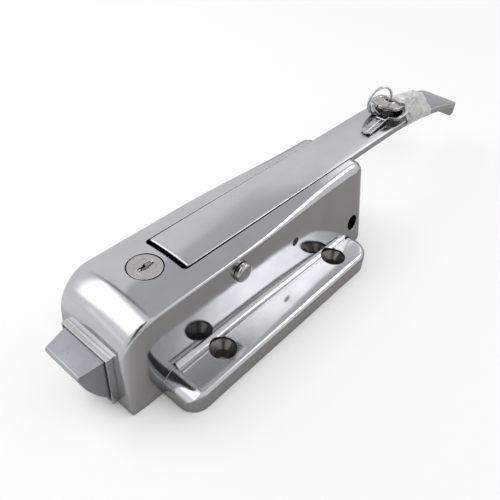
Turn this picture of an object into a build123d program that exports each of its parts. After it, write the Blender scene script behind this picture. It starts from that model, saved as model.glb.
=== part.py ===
from build123d import *
import math
import os

# Walk-in cooler door latch, in millimetres.
# +X runs from the bolt's tip towards the handle's tip, +Z away from the door.
# The origin lies on the door's face, in the middle of the four screw holes.

# Housing
nose_x = -93.5
nose_radius = 18.5
nose_side_inset = 4.0
nose_base_share = 0.25
nose_edge_radius = 3.5
straight_end_x = -18.0
tail_x = 87.5
tail_radius = 11.0
tail_side_inset = 5.0
taper_run_out = 14.5
crown_height = 53.2
crown_radius = 90.0
front_base_half = 25.3
front_shoulder_half = 23.4
front_edge_radius = 1.4
rear_base_half = 28.5
rear_shoulder_half = 20.2
rear_edge_radius = 5.5

# Screw flanges
flange_front_inset = 17.0
flange_rear_inset = 19.2
flange_half = 45.4
flange_height = 11.3
flange_edge_radius = 3.2
flange_front_corner = 9.0
flange_rear_corner = 12.0
flange_roll_radius = 8.5
wall_fillet = 4.0
strip_root = 0.12
bead_radius = 0.5
bead_front_run = 4.1
bead_rear_run = 2.3

# Fastening screws, 1/4 inch flat head
screw_spacing_x = 90.5
screw_spacing_y = 66.0
screw_hole_radius = 3.4
screw_head_radius = 6.8
screw_head_land = 1.4
screw_cone_angle = 82.0

# Handle
handle_sink = 1.0
handle_lock_gap = 13.75
handle_side_wall = 10.7
handle_flat_past_tail = 34.5
handle_bend_run = 106.0
handle_bend_drop = 18.0
handle_thickness = 4.4
handle_front_thickness = 5.7
handle_tip_flare = 1.1
handle_corner = 5.0
handle_edge = 0.8
lip_depth = 9.4
lip_length = 22.0
lip_run_out = 1.4
lip_middle_share = 0.6
pivot_setback = 23.05
pivot_depth = 10.9
pivot_radius = 4.0
hub_radius = 8.5
handle_swing = 33.0
running_fit = 0.05
side_clearance = 0.8
slot_front_gap = 3.0
slot_corner = 2.5

# Arm and roller that draw the bolt back
roller_height = 12.17
arm_half_thickness = 3.5
arm_root_half_thickness = 4.2
arm_half_width = 6.0
roller_radius = 5.0
roller_half_width = 3.1
roller_pin_radius = 2.0
roller_side_gap = 0.3
fork_gap = 1.3

# Bolt
bolt_cover = 20.9
bolt_side_wall = 9.2
bolt_bottom = 4.2
bolt_root_inset = 1.3
bolt_ramp_length = 16.4
bolt_tip_narrowing = 3.0
bolt_tip_drop = 2.3
bolt_inner_step = 0.9
bolt_shoulder_inset = 9.5
bolt_ramp_bulge = 2.6
bolt_tip_bevel = 0.9
bolt_past_pivot = 6.45
bolt_side_gap = 0.4
bolt_top_gap = 0.9
pocket_half = 7.0
pocket_floor_thickness = 4.8
pocket_roller_gap = 0.5
pocket_relief_depth = 9.9
pocket_relief_length = 4.8

# Collar round the bolt
collar_proud = 3.3
collar_depth = 7.0
collar_wall = 0.9
collar_gap = 0.3
seat_gap = 0.1

# Back plate and its screws
plate_recess = 0.2
plate_thickness = 2.4
plate_side_wall = 2.8
plate_collar_gap = 1.5
plate_rear_inset = 8.5
plate_gap = 0.2
plate_screw_x = 66.0
plate_screw_edge = 3.9
plate_screw_radius = 1.9
plate_screw_head_radius = 3.6
plate_screw_length = 10.0
plate_screw_slot_width = 0.8
plate_screw_slot_depth = 0.7
wear_gap = 0.3
wear_strip_y = 9.0
wear_strip_width = 5.0
wear_strip_length = 58.0

# Inside of the housing
deck_depth = 7.4
deck_thickness = 3.0
cavity_rear_wall = 9.5
hub_window_length = 13.45
bore_overrun = 5.0

# Lock
lock_inset = 32.25
lock_face_radius = 15.875 / 2
lock_face_sink = 0.3
lock_ring_gap = 0.7
lock_head_depth = 3.0
barrel_radius = 6.6
barrel_length = 14.4
plug_radius = 5.0
keyway_length = 8.2
keyway_width = 1.9
keyway_depth = 9.0
shutter_length = 4.6
nut_radius = 9.0
nut_thickness = 3.0
lock_pocket_half = 11.0
lock_roof_thickness = 6.7
tail_half = 2.0
tail_gap = 1.6
cam_thickness = 2.4
cam_hub_radius = 4.4
finger_orbit = 7.5
finger_radius = 2.4
finger_length = 6.0
groove_gap = 0.4
cam_screw_radius = 1.2
cam_screw_head_radius = 2.6
cam_screw_head_height = 1.2
cam_screw_length = 6.0

# Bolt springs
spring_y = 10.5
spring_mean_radius = 3.0
spring_wire_radius = 0.5
spring_turns = 9
spring_room = 32.6
spring_end_gap = 0.3
spring_height = 10.8
guide_radius = 1.5
guide_entry = 4.0
guide_bore_gap = 0.3
guide_bore_spare = 2.0
seat_thickness = 8.0
seat_top_margin = 3.2
seat_pin_lift = 0.7
seat_pin_radius = 2.4
seat_pin_recess = 1.6

# Inside release
plunger_reach = 28.45
plunger_radius = 4.0
plunger_foot_radius = 5.5
plunger_foot_height = 3.0
plunger_gap = 0.4
plunger_boss_radius = 6.8
socket_radius = 2.6
socket_depth = 12.0
rod_hole_radius = 6.0

# Side holes, pivot pin head and clip, bumper
cross_hole_inset = 13.5
cross_hole_z = 15.5
cross_hole_radius = 4.8
cross_boss_wall = 3.0
pin_head_radius = 5.0
pin_head_height = 3.0
clip_wall = 1.4
clip_height = 2.6
washer_thickness = 0.6
washer_wall = 3.0
bumper_inset = 29.5
bumper_length = 10.0
bumper_width = 18.0
bumper_gap = 0.3

# Keys, ring and tape on the handle, placed from the start of its bend
key_thickness = 1.9
key_gap = 0.3
key_bow_radius = 11.2
key_blade_length = 21.8
key_blade_width = 6.5
key_hole_radius = 3.0
lower_key_run = 18.0
lower_key_y = -3.0
lower_key_angle = 3.0
upper_key_run = 18.5
upper_key_y = 0.5
upper_key_angle = 174.0
upper_key_tilt = -6.0
ring_mean_radius = 8.9
ring_wire_radius = 0.7
ring_half_turns = 3
ring_turn_gap = 0.5
ring_run = 13.9
ring_y = 4.0
ring_angle = -19.0
ring_lift = 0.3
ring_chord = 14.6
tape_run = 28.0
tape_length = 30.0
tape_thickness = 0.8
tape_gap = 0.3

# Derived places along the body
taper_end_x = tail_x - taper_run_out
flange_front_x = nose_x + flange_front_inset
flange_rear_x = tail_x - flange_rear_inset
lock_x = nose_x + lock_inset
handle_front_x = lock_x + handle_lock_gap
handle_bend_x = tail_x + handle_flat_past_tail
handle_tip_x = handle_bend_x + handle_bend_run
pivot_x = handle_front_x + pivot_setback
slot_front_x = handle_front_x - slot_front_gap
hub_window_rear_x = pivot_x + hub_window_length
bolt_root_x = nose_x + bolt_root_inset
bolt_tip_x = bolt_root_x - bolt_ramp_length
bolt_shoulder_x = nose_x + bolt_shoulder_inset
bolt_rear_x = pivot_x + bolt_past_pivot
seat_x = bolt_rear_x + spring_room
seat_pin_x = seat_x + seat_thickness / 2
plunger_x = pivot_x + plunger_reach
plate_front_x = nose_x + collar_depth + plate_collar_gap
plate_rear_x = tail_x - plate_rear_inset
cavity_rear_x = tail_x - cavity_rear_wall
cross_hole_x = tail_x - cross_hole_inset
bumper_x = tail_x - bumper_inset
ring_x = handle_bend_x + ring_run
lower_key_x = handle_bend_x + lower_key_run
upper_key_x = handle_bend_x + upper_key_run
tape_start_x = handle_bend_x + tape_run

# Derived widths
handle_front_half = front_shoulder_half - handle_side_wall
handle_tip_half = handle_front_half + handle_tip_flare
slot_half = handle_front_half + side_clearance
bolt_half = front_shoulder_half - bolt_side_wall
bolt_tip_half = bolt_half - bolt_tip_narrowing
channel_half = bolt_half + bolt_side_gap
collar_half = bolt_half + collar_gap + collar_wall
plate_half = front_base_half - plate_side_wall
plate_screw_y = plate_half - plate_screw_edge

# Derived heights
handle_top = crown_height - handle_sink
handle_under = handle_top - handle_thickness
handle_tip_z = handle_top - handle_bend_drop
bend_radius = (handle_bend_run**2 + handle_bend_drop**2) / (2 * handle_bend_drop)
pivot_z = handle_top - pivot_depth
bolt_top = crown_height - bolt_cover
bolt_inner_top = bolt_top - bolt_inner_step
bolt_tip_z = bolt_top - bolt_tip_drop
collar_bottom = bolt_bottom - collar_gap - collar_wall
collar_top = bolt_top + collar_gap + collar_wall
cavity_upper_z = bolt_top + bolt_top_gap
deck_top = crown_height - deck_depth
deck_bottom = deck_top - deck_thickness
lock_roof_z = crown_height - lock_roof_thickness
lock_face_z = crown_height - lock_face_sink
barrel_bottom = lock_face_z - barrel_length
cam_top = barrel_bottom - tail_gap
cam_bottom = cam_top - cam_thickness
finger_bottom = cam_bottom - finger_length
spring_axis_z = bolt_bottom + spring_height
seat_pin_z = bolt_top + seat_pin_lift
plate_top = plate_recess + plate_thickness

# Derived motion
swing_rad = math.radians(handle_swing)
arm_lean = handle_swing / 2
roller_z = bolt_bottom + roller_height
arm_length = (pivot_z - roller_z) / math.cos(math.radians(arm_lean))
roller_x = pivot_x - arm_length * math.sin(math.radians(arm_lean))
bolt_travel = 2 * arm_length * math.sin(math.radians(arm_lean))
plunger_lever = plunger_reach - plunger_radius / 2
release_travel = plunger_lever * swing_rad
spring_length = spring_room - 2 * spring_end_gap
spring_pitch = (spring_length - 2 * spring_wire_radius) / spring_turns

# Derived places of the keys: the ring stands on the handle and the lower bow hangs on it
ring_pitch = 2 * ring_wire_radius + ring_turn_gap
ring_z = handle_top + ring_lift + ring_wire_radius + ring_mean_radius
key_middle_z = ring_z - math.sqrt(ring_mean_radius**2 - (ring_chord / 2)**2)
lower_key_z = key_middle_z - (key_thickness + key_gap) / 2
key_reach = key_bow_radius + key_blade_length
lower_key_rise = (lower_key_z - key_thickness / 2 - handle_top - key_gap) / key_reach
bow_touch_x = lower_key_x + key_bow_radius
bow_touch_z = lower_key_z + key_bow_radius * lower_key_rise + key_thickness + key_gap
upper_key_slope = math.tan(math.radians(upper_key_tilt))
upper_key_z = bow_touch_z + (upper_key_x - bow_touch_x) * upper_key_slope


def box(x0, x1, y0, y1, z0, z1):
    size = (x1 - x0, y1 - y0, z1 - z0)
    place = Pos((x0 + x1) / 2, (y0 + y1) / 2, (z0 + z1) / 2)
    return place * Box(*size)


def rod(radius, x, y, z0, z1):
    return Pos(x, y, (z0 + z1) / 2) * Cylinder(radius, z1 - z0)


def cross_rod(radius, x, z, y0, y1):
    return Pos(x, (y0 + y1) / 2, z) * Rot(90, 0, 0) * Cylinder(radius, y1 - y0)


def side_profile(lines, half):
    face = make_face(Plane.XZ * Wire(lines))
    return extrude(face, half, both=True)


def half_turn_coil(radius, pitch, half_turns, wire_radius):
    # Each half turn is one arc, tilted the other way from the last,
    # so that neighbouring arcs share a tangent.
    arcs = []
    for i in range(half_turns):
        sign = 1 if i % 2 == 0 else -1
        low = i * pitch / 2
        start = (sign * radius, 0, low)
        middle = (0, sign * radius, low + pitch / 4)
        end = (-sign * radius, 0, low + pitch / 2)
        arcs.append(ThreePointArc(start, middle, end))
    path = Wire(arcs)
    section = Plane(origin=path @ 0, z_dir=path % 0) * Circle(wire_radius)
    return sweep(section, path=path)


def coil_gap(radius, pitch, wire_radius):
    # Least gap between two turns, measured on points one turn apart and a little either side.
    least = pitch
    for i in range(-30, 31):
        angle = 2 * math.pi + math.radians(i)
        rise = pitch * angle / (2 * math.pi)
        chord = 2 * radius * math.sin(angle / 2)
        least = min(least, math.hypot(rise, chord))
    return least - 2 * wire_radius


def shoulder_z(half):
    centre_z = crown_height - crown_radius
    return centre_z + math.sqrt(crown_radius**2 - half**2)


def taper_at(x):
    t = min(max((x - straight_end_x) / (taper_end_x - straight_end_x), 0), 1)
    return t * t * (3 - 2 * t)


def wall_half_at(x, z):
    s = taper_at(x)
    base = front_base_half + s * (rear_base_half - front_base_half)
    shoulder = front_shoulder_half + s * (rear_shoulder_half - front_shoulder_half)
    return base + (shoulder - base) * z / shoulder_z(shoulder)


def body_section(x, drop=0.0, base_inset=0.0, shoulder_inset=0.0, extra_radius=0.0):
    s = taper_at(x)
    base = front_base_half + s * (rear_base_half - front_base_half) - base_inset
    shoulder = front_shoulder_half + s * (rear_shoulder_half - front_shoulder_half) - shoulder_inset
    radius = front_edge_radius + s * (rear_edge_radius - front_edge_radius) + extra_radius
    corner_z = shoulder_z(shoulder) - drop
    outline = [
        Line((-base, 0), (base, 0)),
        Line((base, 0), (shoulder, corner_z)),
        ThreePointArc((shoulder, corner_z), (0, crown_height - drop), (-shoulder, corner_z)),
        Line((-shoulder, corner_z), (-base, 0)),
    ]
    face = make_face(Wire(outline))
    corners = face.vertices().sort_by(Axis.Y)[-2:]
    face = fillet(corners, radius)
    plane = Plane(origin=(x, 0, 0), x_dir=(0, 1, 0), z_dir=(1, 0, 0))
    return plane * face


def nose_section(angle):
    # From the front face, at angle 0, up over the rounded nose to the crown.
    x = nose_x + nose_radius * (1 - math.cos(angle))
    drop = nose_radius * (1 - math.sin(angle))
    inset = nose_side_inset * (1 - math.sin(angle))
    extra = (nose_edge_radius - front_edge_radius) * math.cos(angle)
    return body_section(x, drop, inset * nose_base_share, inset, extra)


def tail_section(angle):
    x = tail_x - tail_radius * (1 - math.sin(angle))
    fall = 1 - math.cos(angle)
    return body_section(x, tail_radius * fall, tail_side_inset * fall, tail_side_inset * fall)


def body_shell():
    nose_end_x = nose_x + nose_radius
    tail_start_x = tail_x - tail_radius
    nose = loft([nose_section(math.radians(15 * i)) for i in range(7)])
    straight = extrude(body_section(nose_end_x), straight_end_x - nose_end_x, dir=(1, 0, 0))
    taper = loft([
        body_section(straight_end_x + (tail_start_x - straight_end_x) * i / 6) for i in range(7)
    ])
    tail = loft([tail_section(math.radians(18 * i)) for i in range(6)])
    return nose + straight + taper + tail


def flange_slab():
    x0, x1, y = flange_front_x, flange_rear_x, flange_half
    outline = FilletPolyline(
        (x0, -y), (x1, -y), (x1, y), (x0, y),
        radius=[flange_front_corner, flange_rear_corner, flange_rear_corner, flange_front_corner],
        close=True,
    )
    slab = extrude(make_face(outline), flange_height)
    return fillet(slab.edges().group_by(Axis.Z)[-1], flange_edge_radius)


def wall_strip(side):
    # Concave fillet between wall and flange, ending in a fine bead.
    sections = []
    for x in (flange_front_x, straight_end_x, flange_rear_x - flange_rear_corner / 2):
        t = (x - flange_front_x) / (flange_rear_x - flange_front_x)
        low = flange_height - bead_radius
        high = flange_height + wall_fillet
        wall = wall_half_at(x, high) - strip_root
        bead_y = wall_half_at(x, flange_height) + bead_front_run + t * (bead_rear_run - bead_front_run)
        dip = math.sqrt(0.5)
        middle = (bead_y - dip * (bead_y - wall), high - dip * wall_fillet)
        inner = wall - wall_fillet
        outline = [
            Line((inner, low), (inner, high)),
            Line((inner, high), (wall, high)),
            ThreePointArc((wall, high), middle, (bead_y, flange_height)),
            ThreePointArc(
                (bead_y, flange_height),
                (bead_y + bead_radius, flange_height + bead_radius),
                (bead_y + 2 * bead_radius, flange_height),
            ),
            Line((bead_y + 2 * bead_radius, flange_height), (bead_y + 2 * bead_radius, low)),
            Line((bead_y + 2 * bead_radius, low), (inner, low)),
        ]
        plane = Plane(origin=(x, 0, 0), x_dir=(0, side, 0), z_dir=(side, 0, 0))
        sections.append(plane * make_face(Wire(outline)))
    return loft(sections, ruled=True)


def roll_cutter():
    # What is cut away above the rounded front end of the flange.
    low = flange_height - flange_roll_radius
    x0 = flange_front_x
    x1 = flange_front_x + flange_roll_radius
    dip = flange_roll_radius * (1 - math.sqrt(0.5))
    far = flange_height + flange_roll_radius
    lines = [
        ThreePointArc((x0, low), (x0 + dip, flange_height - dip), (x1, flange_height)),
        Line((x1, flange_height), (x1, far)),
        Line((x1, far), (x0 - 1, far)),
        Line((x0 - 1, far), (x0 - 1, low)),
        Line((x0 - 1, low), (x0, low)),
    ]
    return side_profile(lines, flange_half + 1)


def fastening_hole(x, y):
    cone = (screw_head_radius - screw_hole_radius) / math.tan(math.radians(screw_cone_angle / 2))
    land_z = flange_height - screw_head_land
    hole = rod(screw_hole_radius, x, y, -1, flange_height)
    sink = Pos(x, y, land_z - cone / 2) * Cone(screw_hole_radius, screw_head_radius, cone)
    return hole + sink + rod(screw_head_radius, x, y, land_z, flange_height + 2 * screw_head_radius)


def housing_hollows():
    lower_z = bolt_bottom - collar_gap
    hollow = box(nose_x - 1, cavity_rear_x, -channel_half, channel_half, lower_z, cavity_upper_z)
    mouth_half = collar_half + seat_gap
    hollow += box(nose_x - 1, nose_x + collar_depth, -mouth_half, mouth_half,
                  collar_bottom - seat_gap, collar_top + seat_gap)
    hollow += box(plate_front_x + plate_gap, cavity_rear_x, -channel_half, channel_half, -1, lower_z + 1)
    hollow += box(plate_front_x, plate_rear_x, -plate_half, plate_half, -1, plate_top)
    hollow += box(slot_front_x, cavity_rear_x, -slot_half, slot_half, cavity_upper_z - 1, deck_bottom)
    hollow += box(slot_front_x, hub_window_rear_x, -slot_half, slot_half, deck_bottom - 1, deck_top + 1)
    slot = box(slot_front_x, tail_x + 1, -slot_half, slot_half, deck_top, crown_height + 1)
    hollow += fillet(slot.edges().filter_by(Axis.Z).group_by(Axis.X)[0], slot_corner)
    hollow += box(lock_x - lock_pocket_half, slot_front_x + 1, -lock_pocket_half, lock_pocket_half,
                  cavity_upper_z - 1, lock_roof_z)
    return hollow


def housing_bores():
    reach = rear_base_half + bore_overrun
    bores = rod(barrel_radius + running_fit, lock_x, 0, lock_roof_z - 1, crown_height + 1)
    head_bottom = lock_face_z - lock_head_depth
    bores += rod(lock_face_radius + lock_ring_gap, lock_x, 0, head_bottom, crown_height + 1)
    bores += cross_rod(pivot_radius + running_fit, pivot_x, pivot_z, -reach, reach)
    bores += cross_rod(seat_pin_radius + running_fit, seat_pin_x, seat_pin_z, -reach, reach)
    bores += cross_rod(cross_hole_radius, cross_hole_x, cross_hole_z, -reach, reach)
    for x in (-plate_screw_x, plate_screw_x):
        for y in (-plate_screw_y, plate_screw_y):
            bores += rod(plate_screw_radius + running_fit, x, y, 0, plate_screw_length + 1)
    for x in (-screw_spacing_x / 2, screw_spacing_x / 2):
        for y in (-screw_spacing_y / 2, screw_spacing_y / 2):
            bores += fastening_hole(x, y)
    return bores


def housing():
    flange = flange_slab() + wall_strip(1) + wall_strip(-1) - roll_cutter()
    casting = body_shell() + flange
    casting -= housing_hollows()
    casting += rod(plunger_boss_radius, plunger_x, 0, cavity_upper_z, deck_bottom + deck_thickness / 2)
    casting -= rod(plunger_radius + running_fit, plunger_x, 0, cavity_upper_z - 1, deck_top + 1)
    boss_radius = cross_hole_radius + cross_boss_wall
    casting += cross_rod(boss_radius, cross_hole_x, cross_hole_z, -channel_half - 1, channel_half + 1)
    return casting - housing_bores()


def bolt_collar():
    x0 = nose_x - collar_proud
    x1 = nose_x + collar_depth
    outer = box(x0, x1, -collar_half, collar_half, collar_bottom, collar_top)
    inner_half = bolt_half + collar_gap
    inner = box(x0 - 1, x1 + 1, -inner_half, inner_half, bolt_bottom - collar_gap, bolt_top + collar_gap)
    return outer - inner


def finger_track(centre_x):
    # Quarter ring that the cam's finger sweeps, from beside the lock to in front of it.
    outer = finger_orbit + finger_radius + groove_gap
    inner = finger_orbit - finger_radius - groove_gap
    z0 = finger_bottom - groove_gap
    z1 = bolt_top + 1
    ring = rod(outer, centre_x, 0, z0, z1) - rod(inner, centre_x, 0, z0 - 1, z1 + 1)
    track = ring & box(centre_x, centre_x + outer, 0, outer, z0, z1)
    for x, y in ((centre_x, finger_orbit), (centre_x + finger_orbit, 0)):
        track += rod(finger_radius + groove_gap, x, y, z0, z1)
    return track


def bolt_pocket():
    # Open pocket for the arm, long enough for the bolt to be pushed in while the handle rests.
    rear = roller_x + roller_radius + pocket_roller_gap
    front = roller_x - roller_radius - pocket_roller_gap - bolt_travel
    floor = bolt_bottom + pocket_floor_thickness
    top = bolt_top + 1
    points = [
        (front, floor), (rear, floor), (rear, bolt_inner_top - pocket_relief_depth),
        (rear + pocket_relief_length, bolt_inner_top), (rear + pocket_relief_length, top), (front, top),
    ]
    return side_profile(Polyline(*points, close=True).edges(), pocket_half)


def bolt():
    ramp_foot = bolt_root_x - bolt_ramp_bulge
    tip_top = bolt_tip_z - bolt_tip_bevel
    middle_x = (ramp_foot + bolt_tip_x - bolt_ramp_bulge) / 2
    middle = (middle_x, (bolt_bottom + tip_top) / 2 - bolt_ramp_bulge)
    lines = [
        Line((bolt_rear_x, bolt_bottom), (ramp_foot, bolt_bottom)),
        ThreePointArc((ramp_foot, bolt_bottom), middle, (bolt_tip_x, tip_top)),
        Line((bolt_tip_x, tip_top), (bolt_tip_x + bolt_tip_bevel, bolt_tip_z)),
        Line((bolt_tip_x + bolt_tip_bevel, bolt_tip_z), (bolt_root_x, bolt_top)),
        Line((bolt_root_x, bolt_top), (bolt_shoulder_x, bolt_top)),
        Line((bolt_shoulder_x, bolt_top), (bolt_shoulder_x, bolt_inner_top)),
        Line((bolt_shoulder_x, bolt_inner_top), (bolt_rear_x, bolt_inner_top)),
        Line((bolt_rear_x, bolt_inner_top), (bolt_rear_x, bolt_bottom)),
    ]
    blank = side_profile(lines, bolt_half + 1)
    plan = Polyline(
        (bolt_rear_x, -bolt_half), (bolt_root_x, -bolt_half), (bolt_tip_x, -bolt_tip_half),
        (bolt_tip_x - 1, -bolt_tip_half), (bolt_tip_x - 1, bolt_tip_half), (bolt_tip_x, bolt_tip_half),
        (bolt_root_x, bolt_half), (bolt_rear_x, bolt_half), close=True,
    )
    blank = blank & extrude(make_face(plan), bolt_top + 1)
    blank -= bolt_pocket()
    blank -= finger_track(lock_x) + finger_track(lock_x - bolt_travel)
    track_half = finger_radius + groove_gap
    blank -= box(lock_x - bolt_travel, lock_x, finger_orbit - track_half, finger_orbit + track_half,
                 finger_bottom - groove_gap, bolt_top + 1)
    depth = guide_entry + bolt_travel + guide_bore_spare
    for y in (-spring_y, spring_y):
        bore = Pos(bolt_rear_x - depth / 2, y, spring_axis_z) * Rot(0, 90, 0)
        blank -= bore * Cylinder(guide_radius + guide_bore_gap, depth)
    return blank


def handle_top_at(x):
    run = max(x - handle_bend_x, 0)
    return handle_top - bend_radius + math.sqrt(bend_radius**2 - run**2)


def handle_lever():
    # The inner arc shares the centre of the top arc; the finger lip thickens below it.
    centre_z = handle_top - bend_radius
    inner_radius = bend_radius - handle_thickness
    lip_radius = bend_radius - lip_depth
    tip_angle = math.asin(handle_bend_run / bend_radius)
    lip_angle = tip_angle - lip_length * lip_run_out / bend_radius

    def on_arc(radius, angle):
        return (handle_bend_x + radius * math.sin(angle), centre_z + radius * math.cos(angle))

    step_x = pivot_x + hub_radius
    front_under = handle_top - handle_front_thickness
    tip = on_arc(bend_radius, tip_angle)
    lip_end = on_arc(lip_radius, tip_angle - handle_corner / bend_radius)
    lip_middle_angle = tip_angle - lip_length * lip_middle_share / bend_radius
    lip_middle = on_arc(lip_radius + handle_thickness / 4, lip_middle_angle)
    lip_start = on_arc(inner_radius, lip_angle)
    lines = [
        Line((handle_front_x, front_under), (handle_front_x, handle_top)),
        Line((handle_front_x, handle_top), (handle_bend_x, handle_top)),
        ThreePointArc((handle_bend_x, handle_top), on_arc(bend_radius, tip_angle / 2), tip),
        Line(tip, lip_end),
        ThreePointArc(lip_end, lip_middle, lip_start),
        ThreePointArc(lip_start, on_arc(inner_radius, lip_angle / 2), (handle_bend_x, handle_under)),
        Line((handle_bend_x, handle_under), (step_x, handle_under)),
        Line((step_x, handle_under), (step_x, front_under)),
        Line((step_x, front_under), (handle_front_x, front_under)),
    ]
    blank = side_profile(lines, handle_tip_half + 1)
    plan = FilletPolyline(
        (handle_front_x, -handle_front_half), (handle_tip_x, -handle_tip_half),
        (handle_tip_x, handle_tip_half), (handle_front_x, handle_front_half),
        radius=[handle_edge, handle_corner, handle_corner, handle_edge], close=True,
    )
    return blank & extrude(make_face(plan), crown_height + handle_thickness)


def handle_arm():
    half = arm_half_width
    points = [
        (-arm_root_half_thickness, 0), (arm_root_half_thickness, 0),
        (arm_half_thickness, -arm_length), (-arm_half_thickness, -arm_length),
    ]
    arm = side_profile(Polyline(*points, close=True).edges(), half)
    arm += cross_rod(arm_half_thickness, 0, -arm_length, -half, half)
    gap = roller_half_width + roller_side_gap
    top = roller_radius + fork_gap - arm_length
    arm -= box(-hub_radius, hub_radius, -gap, gap, -arm_length - roller_radius, top)
    arm -= cross_rod(roller_pin_radius + running_fit, 0, -arm_length, -half - 1, half + 1)
    return Pos(pivot_x, 0, pivot_z) * Rot(0, arm_lean, 0) * arm


def handle():
    half = handle_front_half
    lever = handle_lever() + cross_rod(hub_radius, pivot_x, pivot_z, -half, half)
    lever += box(pivot_x - hub_radius, pivot_x + hub_radius, -half, half, pivot_z, handle_under + 1)
    lever += handle_arm()
    return lever - cross_rod(pivot_radius + running_fit, pivot_x, pivot_z, -half - 1, half + 1)


def lug_roller():
    half = roller_half_width
    roller = cross_rod(roller_radius, roller_x, roller_z, -half, half)
    return roller - cross_rod(roller_pin_radius + running_fit, roller_x, roller_z, -half - 1, half + 1)


def roller_pin():
    return cross_rod(roller_pin_radius, roller_x, roller_z, -arm_half_width, arm_half_width)


def pin_seat_y():
    return wall_half_at(pivot_x, pivot_z - pin_head_radius) + running_fit


def pivot_pin():
    y = pin_seat_y()
    head = cross_rod(pin_head_radius, pivot_x, pivot_z, -y - pin_head_height, -y)
    head = fillet(head.edges().group_by(Axis.Y)[0], pin_head_height / 2)
    return head + cross_rod(pivot_radius, pivot_x, pivot_z, -y - 1, y + clip_height / 2)


def pivot_clip():
    y = pin_seat_y()
    cap = cross_rod(pivot_radius + clip_wall, pivot_x, pivot_z, y, y + clip_height)
    cap = fillet(cap.edges().group_by(Axis.Y)[-1], clip_height / 3)
    depth = clip_height / 2 + running_fit
    return cap - cross_rod(pivot_radius + running_fit, pivot_x, pivot_z, y - 1, y + depth)


def pivot_washers():
    outer_y = slot_half - running_fit
    washers = []
    for side in (-1, 1):
        y0 = min(side * outer_y, side * (outer_y - washer_thickness))
        y1 = y0 + washer_thickness
        ring = cross_rod(pivot_radius + washer_wall, pivot_x, pivot_z, y0, y1)
        washers.append(ring - cross_rod(pivot_radius + running_fit, pivot_x, pivot_z, y0 - 1, y1 + 1))
    return Compound(children=washers)


def lock_barrel():
    barrel = rod(lock_face_radius, lock_x, 0, lock_face_z - lock_head_depth, lock_face_z)
    barrel += rod(barrel_radius, lock_x, 0, barrel_bottom, lock_face_z - lock_head_depth / 2)
    return barrel - rod(plug_radius + running_fit, lock_x, 0, barrel_bottom - 1, lock_face_z + 1)


def lock_plug():
    top = lock_face_z - running_fit
    plug = rod(plug_radius, lock_x, 0, barrel_bottom - running_fit, top)
    plug += box(lock_x - tail_half, lock_x + tail_half, -tail_half, tail_half, cam_bottom, barrel_bottom + 1)
    half = keyway_length / 2
    plug -= box(lock_x - half, lock_x + half, -keyway_width / 2, keyway_width / 2, top - keyway_depth, top + 1)
    screw_top = cam_bottom + cam_screw_length
    return plug - rod(cam_screw_radius + running_fit, lock_x, 0, cam_bottom - 1, screw_top)


def lock_shutter():
    x0 = lock_x - keyway_length / 2 + running_fit
    half = keyway_width / 2 - running_fit
    z1 = lock_face_z - keyway_width / 4
    return box(x0, x0 + shutter_length, -half, half, z1 - keyway_width, z1)


def lock_nut():
    z0 = lock_roof_z - nut_thickness
    nut = Pos(lock_x, 0, z0) * extrude(RegularPolygon(nut_radius, 6), nut_thickness)
    return nut - rod(barrel_radius + running_fit, lock_x, 0, z0 - 1, lock_roof_z + 1)


def lock_cam():
    cam = rod(cam_hub_radius, lock_x, 0, cam_bottom, cam_top)
    cam += box(lock_x - finger_radius, lock_x + finger_radius, 0, finger_orbit, cam_bottom, cam_top)
    cam += rod(finger_radius, lock_x, finger_orbit, finger_bottom, cam_top)
    half = tail_half + running_fit
    return cam - box(lock_x - half, lock_x + half, -half, half, cam_bottom - 1, cam_top + 1)


def cam_screw():
    head_bottom = cam_bottom - cam_screw_head_height
    head = rod(cam_screw_head_radius, lock_x, 0, head_bottom, cam_bottom)
    return head + rod(cam_screw_radius, lock_x, 0, head_bottom, cam_bottom + cam_screw_length - 1)


def back_plate():
    plate = box(plate_front_x + plate_gap, plate_rear_x - plate_gap, -plate_half + plate_gap,
                plate_half - plate_gap, plate_recess, plate_top)
    plate -= rod(rod_hole_radius, plunger_x, 0, plate_recess - 1, plate_top + 1)
    for x in (-plate_screw_x, plate_screw_x):
        for y in (-plate_screw_y, plate_screw_y):
            plate -= plate_screw(x, y, running_fit)
    return plate


def plate_screw(x, y, margin):
    head_depth = plate_screw_head_radius - plate_screw_radius
    z0 = plate_recess
    head = Pos(x, y, z0 + head_depth / 2) * Cone(
        plate_screw_head_radius + margin, plate_screw_radius + margin, head_depth)
    return head + rod(plate_screw_radius + margin, x, y, z0 + head_depth / 2, z0 + plate_screw_length)


def plate_screws():
    screws = []
    for x in (-plate_screw_x, plate_screw_x):
        for y in (-plate_screw_y, plate_screw_y):
            screw = plate_screw(x, y, 0)
            length = plate_screw_head_radius
            half = plate_screw_slot_width / 2
            slot_top = plate_recess + plate_screw_slot_depth
            slot = box(x - length, x + length, y - half, y + half, plate_recess - 1, slot_top)
            screws.append(screw - slot)
    return Compound(children=screws)


def wear_strips():
    strips = []
    x1 = bolt_rear_x - bolt_side_gap
    for side in (-1, 1):
        y = side * wear_strip_y
        half = wear_strip_width / 2
        z1 = bolt_bottom - wear_gap
        strips.append(box(x1 - wear_strip_length, x1, y - half, y + half, plate_top, z1))
    return Compound(children=strips)


def spring_seat():
    z0 = plate_top + wear_gap
    x1 = seat_x + seat_thickness
    half = channel_half - wear_gap
    upper_half = slot_half - wear_gap
    seat = box(seat_x, x1, -half, half, z0, cavity_upper_z - wear_gap)
    seat += box(seat_x, x1, -upper_half, upper_half, z0, seat_pin_z + seat_top_margin)
    seat -= cross_rod(seat_pin_radius + running_fit, seat_pin_x, seat_pin_z, -half - 1, half + 1)
    for y in (-spring_y, spring_y):
        seat -= Pos(seat_x + seat_thickness / 2, y, spring_axis_z) * Rot(0, 90, 0) * Cylinder(
            guide_radius + running_fit, seat_thickness + 1)
    return seat


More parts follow.
